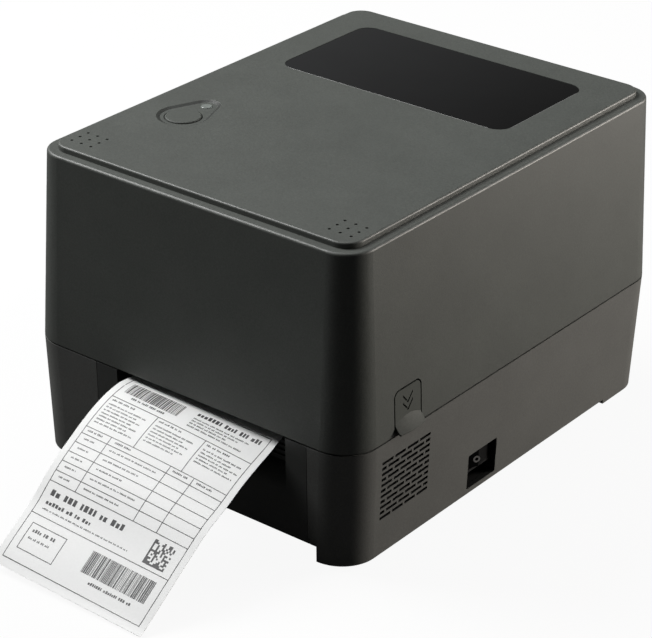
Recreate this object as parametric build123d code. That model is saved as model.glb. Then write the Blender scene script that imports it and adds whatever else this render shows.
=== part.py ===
from build123d import *
import math
import os

# Desktop label printer with a clamshell cover, in millimetres, +Z up, standing on z = 0.
# The case is drawn about its own centre and moved to the part's origin at the end.

# Case
case_width = 230.0
case_depth = 298.0
base_corner = 21.6
rim_corner = 16.7
seam_height = 72.75
rim_height = 186.2
skirt_height = 2.8
wall = 3.0
seam_gap = 1.0
base_side_draft = 0.0324
base_front_draft = 0.0334
cover_side_draft = 0.0486
cover_front_draft = 0.0431
rim_round = 1.6
plateau_rise = 3.3
plateau_inset = 6.0
plateau_round = 1.2
plateau_skin = 3.6
slip = 0.3
run = 0.05
side_x = case_width / 2
front_y = -case_depth / 2
rear_y = case_depth / 2

# Front of the base
panel_left = -63.7
panel_right = 85.3
panel_seam = 0.35
throat_left = -48.3
throat_right = 70.9
throat_lip = 38.5
throat_floor = 51.5
throat_depth = 9.2
throat_back_top = 66.0
throat_skin = 2.0
throat_back_skin = 1.2
rib_count = 4
rib_pitch = 3.2
rib_size = 1.0
rib_low = 54.0
leg_inner = side_x - 24.0
left_leg_inner = side_x - 31.0
front_clear = 10.8
strip_height = 5.0
strip_step = 1.8
rear_leg_start = rear_y - 47.0

# Window, feed button, light and grip dots on the plateau
window_width = case_width - 70.4
window_depth = 84.6
window_x = -1.3
window_y = rear_y - 75.2
window_radius = 10.0
window_thick = 2.0
window_ledge = 4.0
button_x = 42.0 - side_x
button_y = front_y + 86.5
button_radius = 10.4
button_gap = 0.6
button_travel = 1.0
lamp_x = button_x + 0.5
lamp_y = button_y + 19.5
lamp_radius = 3.4
dish_depth = 1.0
dish_radius = 15.4
dish_lamp_radius = 8.4
dish_slope = 2.4
dot_radius = 0.9
dot_depth = 0.8
dot_pitch_x = 7.0
dot_pitch_y = 6.5
dot_centre_x = side_x - 25.8
dot_centre_y = front_y + 27.4

# Release latches
latch_y = front_y + 49.2
notch_width = 24.4
notch_top = 26.0
notch_radius = 4.6
latch_gap = 1.0
latch_travel = 3.5
lip_reach = 4.2
lip_level = 1.5
scoop_top = 8.9
scoop_step = 0.5
scoop_arch = 23.0
scoop_bow = 58.0
chevron_half = 4.3
chevron_rise = 4.8
chevron_stroke = 1.5
flange_low = 7.0
flange_top = 30.0
flange_half = 15.7
spring_length = 11.0
hook_arm = 12.0
hook_pivot_z = 92.0
hook_thick = 3.0
hook_x = side_x - 14.0
striker_radius = 2.5

# Side grille and power switch
grille_y = front_y + 49.0
grille_low = 25.1
grille_rows = 11
grille_pitch = 3.42
grille_slot_length = 9.6
grille_slot_height = 1.8
grille_gap = 1.5
switch_y = front_y + 123.2
switch_width = 27.5
switch_low = 5.9
switch_high = 27.8
rocker_z = 21.0
rocker_height = 11.6
rocker_half = 12.3
rocker_ridge = 6.2
rocker_slope = 20.0
rocker_pivot_x = side_x - 9.4
rocker_tilt = 11.0

# Hinge
hinge_y = rear_y - 5.5
hinge_z = 78.0
hinge_x = side_x - 37.0
ear_half = 11.5
ear_radius = 5.2
lug_thick = 5.0
pin_radius = 2.0

# Print mechanism
mech_x = 11.3
label_width = 105.0
label_thick = 0.3
label_height = 68.75
platen_y = front_y + 25.0
platen_radius = 8.5
platen_z = label_height - label_thick / 2 - 0.1 - platen_radius
platen_half = 56.0
shaft_radius = 3.0
bush_radius = 5.0
frame_half = 60.0
frame_thick = 3.0
frame_front = front_y + 12.6
frame_rear = platen_y + 58.0
frame_top = 77.0
floor_thick = 3.0
floor_front = front_y + 15.0
gear_module = 0.8
pinion_teeth = 14
idler_teeth = 36
platen_teeth = 28
gear_width = 5.0
gear_space = 3.0
bar_y = platen_y + 46.0
bar_radius = 3.0
web_gap = 0.3
motor_size = 35.0
motor_depth = 22.0

# Label roll and its holders
roll_y = rear_y - 87.0
roll_z = 70.0
roll_radius = 45.0
core_outer = 15.0
core_inner = 12.7
guide_thick = 4.0
guide_half = 26.0
guide_travel = 7.0
tray_low = 19.0
tray_thick = 2.5
rack_low = 15.5
rack_high = 18.5
rack_module = 1.0
rack_teeth = 12

# Fed label in front of the case
exit_y = front_y + 10.0
bend_radius = 90.0
bend_angle = 36.5
label_end_z = 3.2

# Ribbon carriage and print head
plate_half = 64.2
plate_thick = 2.0
carriage_top = 176.0
carriage_low = 80.0
supply_y = platen_y + 108.0
supply_z = 128.0
supply_radius = 26.0
take_up_y = platen_y + 40.0
take_up_z = 132.0
take_up_radius = 14.0
ribbon_width = 110.0
head_pivot_y = platen_y + 32.0
head_pivot_z = 92.0
head_low = 69.3
take_up_teeth = 40
ribbon_idler_teeth = 26

# Board and sockets
board_low = 10.0
board_thick = 1.6

top_height = rim_height + plateau_rise
base_top = seam_height - seam_gap / 2
cover_bottom = seam_height + seam_gap / 2
draft_angle = math.degrees(math.atan(cover_side_draft))
frame_left = mech_x - frame_half
frame_right = mech_x + frame_half
plate_left = mech_x - plate_half
plate_right = mech_x + plate_half
gear_x = frame_left - frame_thick - gear_space - gear_width


def block(x0, x1, y0, y1, z0, z1):
    """Box between two corners."""
    centre = Pos((x0 + x1) / 2, (y0 + y1) / 2, (z0 + z1) / 2)
    return centre * Box(x1 - x0, y1 - y0, z1 - z0)


def rod(radius, x0, x1, y, z):
    """Round bar along X."""
    return extrude(Plane.YZ.offset(x0) * Pos(y, z) * Circle(radius), x1 - x0)


def post(radius, x, y, z0, z1):
    """Round bar along Z."""
    return extrude(Plane.XY.offset(z0) * Pos(x, y) * Circle(radius), z1 - z0)


def profile(points, x0, x1):
    """Plate cut to an outline of (y, z) corners, from x0 to x1."""
    return extrude(Plane.YZ.offset(x0) * make_face(Polyline(*points, close=True)), x1 - x0)


def both_sides(shape):
    """The shape and its mirror image across the middle of the case."""
    return shape + mirror(shape, about=Plane.YZ)


def base_outline(height, inset=0.0):
    """Rounded outline of the base, which narrows downward."""
    drop = seam_height - height
    width = case_width - 2 * (base_side_draft * drop + inset)
    depth = case_depth - 2 * (base_front_draft * drop + inset)
    return Plane.XY.offset(height) * RectangleRounded(width, depth, base_corner - inset)


def cover_outline(height, inset=0.0):
    """Rounded outline of the cover, which narrows upward."""
    rise = height - seam_height
    width = case_width - 2 * (cover_side_draft * rise + inset)
    depth = case_depth - 2 * (cover_front_draft * rise + inset)
    corner = base_corner + (rim_corner - base_corner) * rise / (rim_height - seam_height)
    return Plane.XY.offset(height) * RectangleRounded(width, depth, corner - inset)


def base_block(low, high, inset=0.0):
    return loft([base_outline(low, inset), base_outline(high, inset)])


def cover_block(low, high, inset=0.0):
    return loft([cover_outline(low, inset), cover_outline(high, inset)])


def base_front(height):
    """y of the base's front face at a height."""
    return front_y + base_front_draft * (seam_height - height)


def base_side(height):
    """x of the base's right face at a height."""
    return side_x - base_side_draft * (seam_height - height)


def plateau_size(inset):
    rise = rim_height - seam_height
    width = case_width - 2 * (cover_side_draft * rise + inset)
    depth = case_depth - 2 * (cover_front_draft * rise + inset)
    return width, depth, rim_corner - inset


def gear_face(teeth, module, turn=0.0):
    """Flat gear outline with thin teeth, one of them centred at the angle turn."""
    pitch = teeth * module / 2
    step = 360 / teeth
    levels = [(pitch - 1.2 * module, 0.30), (pitch, 0.20), (pitch + 0.85 * module, 0.10)]
    points = []
    for tooth in range(teeth):
        middle = turn + tooth * step
        left = [(radius, middle - share * step) for radius, share in levels]
        right = [(radius, middle + share * step) for radius, share in reversed(levels)]
        for radius, angle in left + right:
            a = math.radians(angle)
            points.append((radius * math.cos(a), radius * math.sin(a)))
    return make_face(Polyline(*points, close=True))


def meshed_turn(teeth_a, turn_a, direction, teeth_b):
    """Angle of gear b that puts a gap of it on a tooth of gear a."""
    step_a = 360 / teeth_a
    step_b = 360 / teeth_b
    phase = ((direction - turn_a) / step_a) % 1.0
    return direction + 180 - (0.5 - phase) * step_b


def gear_x_axis(teeth, module, turn, bore, x0, width, y, z):
    face = gear_face(teeth, module, turn) - Circle(bore)
    return extrude(Plane.YZ.offset(x0) * Pos(y, z) * face, width)


def ribbon_path(start, heading, moves, thickness, x0, x1):
    """Thin sheet that follows straight runs and arcs in the YZ plane.

    A move is ("run", length) or ("turn", radius, degrees), left turns positive.
    """
    sides = {-1: [], 1: []}
    y, z = start
    angle = math.radians(heading)

    def offset_point(side):
        shift = side * thickness / 2
        return (y - shift * math.sin(angle), z + shift * math.cos(angle))

    for move in moves:
        begin = {side: offset_point(side) for side in sides}
        if move[0] == "run":
            y += move[1] * math.cos(angle)
            z += move[1] * math.sin(angle)
            for side in sides:
                sides[side].append(Line(begin[side], offset_point(side)))
        else:
            radius, turn = move[1], math.radians(move[2])
            hand = 1 if turn > 0 else -1
            cy = y - hand * radius * math.sin(angle)
            cz = z + hand * radius * math.cos(angle)
            middle = {}
            for part in (0.5, 1.0):
                now = angle + turn * part
                py = cy + hand * radius * math.sin(now)
                pz = cz - hand * radius * math.cos(now)
                if part == 0.5:
                    for side in sides:
                        shift = side * thickness / 2
                        middle[side] = (py - shift * math.sin(now), pz + shift * math.cos(now))
            y, z, angle = py, pz, angle + turn
            for side in sides:
                sides[side].append(ThreePointArc(begin[side], middle[side], offset_point(side)))
    left, right = sides[1], sides[-1]
    caps = [Line(left[0] @ 0, right[0] @ 0), Line(left[-1] @ 1, right[-1] @ 1)]
    face = make_face(Curve() + left + right + caps)
    return extrude(Plane.YZ.offset(x0) * face, x1 - x0)


def base_shell():
    """Outer wall of the base with its legs, grille, switch opening and rear sockets."""
    shell = base_block(0, base_top) - base_block(-1, base_top + 1, wall)
    far = case_depth
    shell -= block(-far, far, -far, rear_leg_start, -1, skirt_height)
    shell -= block(-leg_inner, leg_inner, 0, far, -1, skirt_height)
    shell -= block(-left_leg_inner, leg_inner, -far, floor_front, -1, front_clear)
    step_back = base_front(front_clear) + strip_step
    shell -= block(-left_leg_inner, leg_inner, -far, step_back, -1, front_clear + strip_height)
    opening_back = base_front(0) + wall + 1
    shell -= block(panel_left, panel_right, -far, opening_back, -1, far)
    shell -= grille_slots()
    recess = block(side_x - 2 * wall, side_x + 1, switch_y - switch_width / 2,
                   switch_y + switch_width / 2, switch_low, switch_high)
    shell -= fillet(recess.edges().filter_by(Axis.X), 1.0)
    for x0, x1, z0, z1 in rear_sockets.values():
        shell -= block(x0 - slip, x1 + slip, rear_y - 8, far, z0 - slip, z1 + slip)
    shell += both_sides(seam_lips())
    boss_inner = hook_x + hook_thick + 2.0
    boss_z = striker_z
    boss = rod(5.0, boss_inner, base_side(boss_z) - wall + 1, striker_y, boss_z)
    shell += both_sides(boss)
    hole = rod(striker_radius, boss_inner - 1, base_side(boss_z) - wall, striker_y, boss_z)
    shell -= both_sides(hole)
    for x in (-hinge_x, hinge_x):
        for z in bracket_screw_heights:
            shell -= along_y(1.5, x, z, rear_y - 10, rear_y - 1.6)
    return shell


def along_y(radius, x, z, y0, y1):
    """Round bar along Y."""
    return extrude(Plane.XZ.offset(-y1) * Pos(x, z) * Circle(radius), y1 - y0)


def seam_lips():
    """Ledges inside the right wall that close the seam from within."""
    inner = side_x - wall
    lips = None
    low = seam_height - 9
    for y0, y1 in ((front_y + 23, latch_y - 17), (latch_y + 17, rear_y - 23)):
        foot = block(inner - 1.8, inner + 0.5, y0, y1, low, base_top)
        foot -= base_cut_outside
        lip = foot + block(inner - 1.8, inner - 0.5, y0, y1, base_top - 0.1, seam_height + 2.5)
        lips = lip if lips is None else lips + lip
    return lips


def grille_slots():
    """Brick pattern of slots through the right wall."""
    slots = []
    step = grille_slot_length + grille_gap
    half = (4 * grille_slot_length + 3 * grille_gap) / 2
    for row in range(grille_rows):
        low = grille_low + row * grille_pitch
        if row % 2 == 0:
            spans = [(-half + i * step, -half + i * step + grille_slot_length) for i in range(4)]
        else:
            short = (grille_slot_length - grille_gap) / 2
            spans = [(-half, -half + short)]
            spans += [(-half + short + grille_gap + i * step,
                       -half + short + grille_gap + i * step + grille_slot_length) for i in range(3)]
            spans += [(half - short, half)]
        for y0, y1 in spans:
            slots.append(block(side_x - 3 * wall, side_x + 1, grille_y + y0, grille_y + y1,
                               low, low + grille_slot_height))
    return slots


def front_panel():
    """Removable panel with the label throat, its ribs and the chute below them."""
    left, right = panel_left + panel_seam, panel_right - panel_seam
    far = case_depth
    slab = base_block(front_clear, base_top) - base_block(0, base_top + 1, wall)
    panel = slab & block(left, right, -far, base_front(0) + 6, 0, far)
    back = base_front(throat_back_top) + throat_depth
    front = base_front(seam_height) + 1.5
    outer = back + throat_back_skin
    panel += profile([(front, throat_lip - 3), (outer, throat_floor - 3), (outer, base_top),
                      (front, base_top)], throat_left - throat_skin, throat_right + throat_skin)
    lip = base_front(throat_lip) - 0.02
    bulge = (lip + 0.27 * (back - lip), throat_lip + 0.64 * (throat_floor - throat_lip))
    chute = ThreePointArc((lip, throat_lip), bulge, (back, throat_floor))
    walls = Polyline((back, throat_floor), (back, far), (-far, far), (-far, throat_lip),
                     (lip, throat_lip))
    opening = make_face(Curve() + [chute, walls])
    panel -= extrude(Plane.YZ.offset(throat_left) * opening, throat_right - throat_left)
    panel -= block(throat_left, throat_right, front, 0, throat_back_top, far)
    for row in range(rib_count):
        z = rib_low + row * rib_pitch
        panel += block(throat_left - 0.5, throat_right + 0.5, back - rib_size, back + 0.5,
                       z, z + rib_size)
    step_back = base_front(front_clear) + strip_step
    panel -= block(left - 1, right + 1, -far, step_back, 0, front_clear + strip_height)
    return panel


def floor_plate():
    """Bottom plate with board posts and seats for the rubber feet."""
    plate = base_block(skirt_height, skirt_height + floor_thick, wall + 0.2)
    plate -= block(-case_width, case_width, -case_depth, floor_front, 0, 20)
    top = skirt_height + floor_thick
    for x, y in board_posts:
        plate += post(3.0, x, y, top, board_low) - post(1.4, x, y, top, board_low)
    for x, y in foot_places:
        plate -= post(foot_radius, x, y, 0, skirt_height + 1)
    return plate


def rubber_feet():
    return [post(foot_radius, x, y, 0, skirt_height + 1) for x, y in foot_places]


def lower_frame():
    """Channel of the print mechanism: bottom, two ears and a front cross wall."""
    low = skirt_height + floor_thick
    frame = block(frame_left - frame_thick, frame_right + frame_thick, floor_front, frame_rear,
                  low, low + 2.5)
    ear = [(floor_front, low), (frame_rear, low), (frame_rear, frame_top - 8),
           (frame_rear - 8, frame_top), (frame_front + 4, frame_top), (frame_front, frame_top - 4),
           (frame_front, 30), (floor_front, 28)]
    frame += profile(ear, frame_left - frame_thick, frame_left)
    frame += profile(ear, frame_right, frame_right + frame_thick)
    frame += block(frame_left - 1, frame_right + 1, frame_front, frame_front + 2, 30, 50)
    ends = (frame_left - frame_thick - 1, frame_right + frame_thick + 1)
    frame -= rod(bush_radius, *ends, platen_y, platen_z)
    frame -= rod(bar_radius, *ends, bar_y, bar_z)
    for y in sensor_rail_y:
        frame -= rod(1.5, *ends, y, sensor_rail_z)
    frame -= rod(2.5, ends[0], frame_left + 1, idler_y, idler_z)
    frame -= rod(6.0, ends[0], frame_left + 1, motor_y, motor_z)
    for y, z in motor_screws:
        frame -= rod(1.6, ends[0], frame_left + 1, y, z)
    for x in tear_screw_x:
        frame -= along_y(1.4, x, tear_screw_z, frame_front - 1, frame_front + 3)
    return frame


def platen_bushes():
    bushes = []
    for x0 in (frame_left - frame_thick, frame_right):
        bush = rod(bush_radius, x0, x0 + frame_thick, platen_y, platen_z)
        collar_x = x0 + frame_thick if x0 < mech_x else x0 - 1.0
        bush += rod(bush_radius + 1, collar_x, collar_x + 1.0, platen_y, platen_z)
        bush -= rod(shaft_radius + run, x0 - 3, x0 + frame_thick + 3, platen_y, platen_z)
        bushes.append(bush)
    return bushes


def platen_shaft():
    return rod(shaft_radius, gear_x - 1.0, frame_right + frame_thick + 2, platen_y, platen_z)


def platen_roller():
    x0, x1 = mech_x - platen_half, mech_x + platen_half
    sleeve = rod(platen_radius, x0, x1, platen_y, platen_z)
    return sleeve - rod(shaft_radius, x0 - 1, x1 + 1, platen_y, platen_z)


def platen_gear():
    return gear_x_axis(platen_teeth, gear_module, platen_turn, shaft_radius, gear_x, gear_width,
                       platen_y, platen_z)


def idler_gear():
    gear = gear_x_axis(idler_teeth, gear_module, idler_turn, 2.5 + run, gear_x, gear_width,
                       idler_y, idler_z)
    hub = rod(5.0, gear_x + gear_width, frame_left - frame_thick - 0.3, idler_y, idler_z)
    gear += hub - rod(2.5 + run, gear_x, frame_left, idler_y, idler_z)
    for turn in range(0, 360, 60):
        a = math.radians(turn)
        gear -= rod(2.2, gear_x - 1, gear_x + gear_width + 1,
                    idler_y + 9 * math.cos(a), idler_z + 9 * math.sin(a))
    return gear


def idler_stud():
    stud = rod(2.5, gear_x - 0.3, frame_left, idler_y, idler_z)
    return stud + rod(4.0, gear_x - 1.6, gear_x - 0.3, idler_y, idler_z)


def stepper_motor():
    """Square motor on the inner side of the left ear, with its screws' tapped holes."""
    half = motor_size / 2
    x0, x1 = frame_left, frame_left + motor_depth
    can = block(x0, x1, motor_y - half, motor_y + half, motor_z - half, motor_z + half)
    can = chamfer(can.edges().filter_by(Axis.X), 3.0)
    boss = rod(6.0 - run, x0 - frame_thick, x0, motor_y, motor_z)
    motor = can + boss
    motor -= rod(2.5 + run, x0 - frame_thick - 1, x0 + 12, motor_y, motor_z)
    for y, z in motor_screws:
        motor -= rod(1.3, x0, x0 + 6, y, z)
    connector = block(x0 + 8, x0 + 18, motor_y - 2, motor_y + 12, motor_z + half - 0.5,
                      motor_z + half + 3.5)
    return motor + connector


def motor_screw_set():
    screws = []
    outer = frame_left - frame_thick
    for y, z in motor_screws:
        screws.append(rod(2.6, outer - 1.6, outer, y, z) + rod(1.25, outer, frame_left + 5, y, z))
    return screws


def motor_shaft():
    return rod(2.5, gear_x - 0.5, frame_left + 11.5, motor_y, motor_z)


def motor_pinion():
    return gear_x_axis(pinion_teeth, gear_module, pinion_turn, 2.5, gear_x, gear_width,
                       motor_y, motor_z)


def tear_bar():
    """Steel strip with a saw-toothed upper edge in front of the roller."""
    x0, x1 = throat_left + 1, throat_right - 1
    y0 = frame_front - 1.2
    bar = block(x0, x1, y0, frame_front, tear_screw_z - 4.5, 67.2)
    teeth = int((x1 - x0) / 2.0)
    pitch = (x1 - x0) / teeth
    points = [(x0, 67.0)]
    for tooth in range(teeth):
        points.append((x0 + (tooth + 0.5) * pitch, 68.2))
        points.append((x0 + (tooth + 1) * pitch, 67.2))
    points.append((x1, 67.0))
    saw = extrude(Plane.XZ.offset(-frame_front) * make_face(Polyline(*points, close=True)), 1.2)
    bar += saw
    for x in tear_screw_x:
        bar -= along_y(1.6, x, tear_screw_z, y0 - 1, frame_front + 1)
    return bar


def web_guide_bar():
    return rod(bar_radius, frame_left - frame_thick, frame_right + frame_thick, bar_y, bar_z)


def sensor_rails():
    x0, x1 = frame_left - frame_thick, frame_right + frame_thick
    return [rod(1.5, x0, x1, y, sensor_rail_z) for y in sensor_rail_y]


def label_sensor():
    middle = (sensor_rail_y[0] + sensor_rail_y[1]) / 2
    carriage = block(mech_x - 8, mech_x + 8, middle - 9, middle + 9, 57, 67.6)
    carriage -= block(mech_x - 9, mech_x - 4, middle - 10, middle + 10, 65.5, 70)
    for y in sensor_rail_y:
        carriage -= rod(1.5 + run, mech_x - 9, mech_x + 9, y, sensor_rail_z)
    return carriage


def label_roll():
    x0, x1 = mech_x - label_width / 2, mech_x + label_width / 2
    return rod(roll_radius, x0, x1, roll_y, roll_z) - rod(core_outer, x0 - 1, x1 + 1, roll_y, roll_z)


def roll_core():
    x0, x1 = mech_x - label_width / 2, mech_x + label_width / 2
    return rod(core_outer, x0, x1, roll_y, roll_z) - rod(core_inner, x0 - 1, x1 + 1, roll_y, roll_z)


def label_strip():
    """Label web from the roll, under the guide bar, over the platen and out to the floor."""
    upper = roll_radius + web_gap + label_thick / 2
    lower = bar_radius + web_gap + label_thick / 2
    dy, dz = roll_y - bar_y, roll_z - bar_z
    distance = math.hypot(dy, dz)
    climb = math.degrees(math.atan2(dz, dy)) + math.degrees(math.asin((upper + lower) / distance))
    a = math.radians(climb)
    start = (roll_y - upper * math.sin(a), roll_z + upper * math.cos(a))
    sloping = math.sqrt(distance ** 2 - (upper + lower) ** 2)
    bend = math.radians(bend_angle)
    bend_end_z = label_height - bend_radius * (1 - math.cos(bend))
    free = (bend_end_z - label_end_z) / math.sin(bend)
    moves = [("run", sloping), ("turn", lower, -climb), ("run", bar_y - exit_y),
             ("turn", bend_radius, bend_angle), ("run", free)]
    x0, x1 = mech_x - label_width / 2, mech_x + label_width / 2
    return ribbon_path(start, 180 + climb, moves, label_thick, x0, x1)


def media_tray():
    """Deck above the board, with slots for the holders and the pinion's pivot."""
    high = tray_low + tray_thick
    tray = block(-tray_half, tray_half, frame_rear + 2, tray_rear, tray_low, high)
    tray -= block(switch_rear_x - 2, case_width, -case_depth, switch_y + rocker_sweep + 4, 0, high + 1)
    for x, y in tray_posts:
        tray += post(4.0, x, y, skirt_height + floor_thick, tray_low + 0.5)
    for side in (-1, 1):
        inner = mech_x + side * (label_width / 2 + slip)
        outer = inner + side * (guide_thick + guide_travel + 1)
        x0, x1 = sorted((inner - side, outer))
        y0, y1 = rack_span(side)
        tray -= block(x0, x1, y0 - slip, y1 + slip, tray_low - 1, high + 1)
    tray += post(2.0, mech_x, roll_y, rack_low - 0.6, tray_low + 0.5)
    tray += post(3.4, mech_x, roll_y, rack_low - 1.4, rack_low - 0.4)
    return tray


def rack_span(side):
    """y range of the rack bar of the left (-1) or right (1) holder."""
    pitch = rack_module * rack_teeth / 2
    near = roll_y + side * (pitch + 1.2 * rack_module)
    return tuple(sorted((near, near + side * 4.5)))


def media_guide(side):
    """Roll holder with its hub, and the rack bar under the tray."""
    inner = mech_x + side * (label_width / 2 + slip)
    outer = inner + side * guide_thick
    x0, x1 = sorted((inner, outer))
    high = tray_low + tray_thick
    plate = block(x0, x1, roll_y - guide_half, roll_y + guide_half, high + slip, roll_z)
    plate += rod(guide_half, x0, x1, roll_y, roll_z)
    hub_end = inner - side * (guide_travel + 5)
    hub = rod(core_inner - slip, *sorted((hub_end, inner)), roll_y, roll_z)
    holder = plate + hub - rod(8.0, *sorted((hub_end - side, outer + side)), roll_y, roll_z)
    y0, y1 = rack_span(side)
    holder += block(x0, x1, y0, y1, rack_low, high + slip)
    end = mech_x - side * 16
    bar = block(*sorted((end, outer)), y0, y1, rack_low, rack_high)
    pitch = math.pi * rack_module
    pitch_y = roll_y + side * rack_module * rack_teeth / 2
    root_y = pitch_y + side * 1.2 * rack_module
    tip_y = pitch_y - side * 0.85 * rack_module
    for tooth in range(-5, 5):
        x = mech_x + (tooth + 0.5) * pitch
        corners = [(x - 0.30 * pitch, root_y + side * 0.2), (x - 0.10 * pitch, tip_y),
                   (x + 0.10 * pitch, tip_y), (x + 0.30 * pitch, root_y + side * 0.2)]
        face = make_face(Polyline(*corners, close=True))
        bar += extrude(Plane.XY.offset(rack_low) * face, rack_high - rack_low)
    return holder + bar


def guide_pinion():
    face = gear_face(rack_teeth, rack_module, 90.0) - Circle(2.0 + run)
    return extrude(Plane.XY.offset(rack_low) * Pos(mech_x, roll_y) * face, rack_high - rack_low)


def main_board():
    """Circuit board with its larger parts."""
    half = side_x - 23
    board = block(-half, half, frame_rear + 14, rear_y - 13, board_low, board_low + board_thick)
    top = board_low + board_thick
    for x, y in board_posts:
        board -= post(1.6, x, y, board_low - 1, top + 1)
    for x, y, w, d, h in ((-40, 10, 22, 22, 1.8), (0, 20, 14, 20, 1.4), (38, 0, 16, 12, 1.6),
                          (-70, 70, 18, 18, 2.2), (-30, -38, 40, 6, 2.8), (46, -40, 24, 6, 2.8)):
        board += block(x - w / 2, x + w / 2, y - d / 2, y + d / 2, top - 0.1, top + h)
    return board


def board_screws():
    top = board_low + board_thick
    bottom = skirt_height + floor_thick
    return [post(1.3, x, y, bottom + 0.2, top) + post(2.8, x, y, top, top + 1.6)
            for x, y in board_posts]


def power_inlet():
    x0, x1, z0, z1 = rear_sockets["power"]
    y1 = socket_back
    body = block(x0, x1, y1 - 14, y1, z0, z1)
    middle_x, middle_z = (x0 + x1) / 2, (z0 + z1) / 2
    body -= along_y(3.2, middle_x, middle_z, y1 - 10, y1 + 1)
    return body + along_y(1.0, middle_x, middle_z, y1 - 10.2, y1 - 1.5)


def usb_port():
    x0, x1, z0, z1 = rear_sockets["usb"]
    y1 = socket_back
    body = block(x0, x1, y1 - 16, y1, z0, z1)
    body -= block(x0 + 1.5, x1 - 1.5, y1 - 9, y1 + 1, z0 + 1.5, z1 - 1.5)
    return body + block(x0 + 3.6, x1 - 3.6, y1 - 9.1, y1 - 1.2, (z0 + z1) / 2 - 1.4, (z0 + z1) / 2 + 1.4)


def serial_port():
    x0, x1, z0, z1 = rear_sockets["serial"]
    y1 = socket_back
    body = block(x0, x1, y1 - 12, y1 - 1, z0, z1)
    middle_x, middle_z = (x0 + x1) / 2, (z0 + z1) / 2
    shroud = block(middle_x - 8.5, middle_x + 8.5, y1 - 2, y1, middle_z - 3.8, middle_z + 3.8)
    body += shroud
    for row, count in ((-1, 4), (1, 5)):
        for i in range(count):
            x = middle_x + (i - (count - 1) / 2) * 2.77
            body -= along_y(0.55, x, middle_z + row * 1.42, y1 - 8, y1 + 1)
    for x in (middle_x - 12.5, middle_x + 12.5):
        body += extrude(Plane.XZ.offset(-y1) * Pos(x, middle_z) * RegularPolygon(2.6, 6), 2)
    return body


def power_switch():
    """Switch body behind the right wall, with its rocker cavity and the shroud under it."""
    face_x = base_side(rocker_z) - wall - 0.4
    half_z = rocker_height / 2 + slip
    half_y = rocker_sweep + slip
    low, high = rocker_z - half_z - 1.4, rocker_z + half_z + 1.4
    front = switch_y - half_y - 2.0
    rear = switch_y + half_y + 2.0
    body = block(switch_rear_x, face_x, front, rear, low, high)
    body -= block(rocker_pivot_x - 5.4, face_x + 1, switch_y - half_y, switch_y + half_y,
                  rocker_z - half_z, rocker_z + half_z)
    body -= post(1.2 + run, rocker_pivot_x, switch_y, rocker_z - half_z - 1.0, rocker_z + half_z + 1.0)
    foot_x = base_side(skirt_height) - wall - 0.4
    shroud = block(foot_x - 10, foot_x, front, rear, skirt_height + floor_thick, low + 0.1)
    shroud -= block(foot_x - 8.5, face_x + 1, front + 2, rear - 2, 0, low - 0.6)
    return body + shroud


def power_rocker():
    """Rocker cap with two sloping faces that meet in a ridge, turned to its off position."""
    half_z = rocker_height / 2
    edge = rocker_ridge - rocker_half * math.tan(math.radians(rocker_slope))
    points = [(-2.0, -rocker_half + 1.5), (edge, -rocker_half), (rocker_ridge, 0),
              (edge, rocker_half), (-2.0, rocker_half - 1.5)]
    cap = extrude(Plane.XY.offset(-half_z) * make_face(Polyline(*points, close=True)), rocker_height)
    cap += extrude(Plane.XY.offset(-half_z - 1.1) * Circle(1.2), rocker_height + 2.2)
    return Pos(rocker_pivot_x, switch_y, rocker_z) * Rot(0, 0, -rocker_tilt) * cap


def hinge_brackets():
    """Two ears on the rear wall that carry the cover."""
    ears = []
    for x in (-hinge_x, hinge_x):
        stem = [(hinge_y - ear_radius, 30), (hinge_y + 0.9, 30), (hinge_y + 2.1, 68),
                (hinge_y + 2.1, 73), (hinge_y, hinge_z), (hinge_y - ear_radius, hinge_z)]
        ear = profile(stem, x - ear_half, x + ear_half)
        ear += rod(ear_radius, x - ear_half, x + ear_half, hinge_y, hinge_z)
        ear -= rod(pin_radius + run, x - ear_half - 1, x + ear_half + 1, hinge_y, hinge_z)
        for z in bracket_screw_heights:
            ear -= along_y(1.6, x, z, hinge_y - 8, hinge_y + 6)
        ears.append(ear)
    return ears


def bracket_screws():
    screws = []
    front = hinge_y - ear_radius
    for x in (-hinge_x, hinge_x):
        for z in bracket_screw_heights:
            shank = along_y(1.4, x, z, front, rear_y - 3.2)
            screws.append(shank + along_y(3.0, x, z, front - 2, front))
    return screws


def latch_strikers():
    inner = hook_x - 1.0
    outer = base_side(striker_z) - wall
    pin = rod(striker_radius, inner, outer, striker_y, striker_z)
    return [pin, mirror(pin, about=Plane.YZ)]


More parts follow.
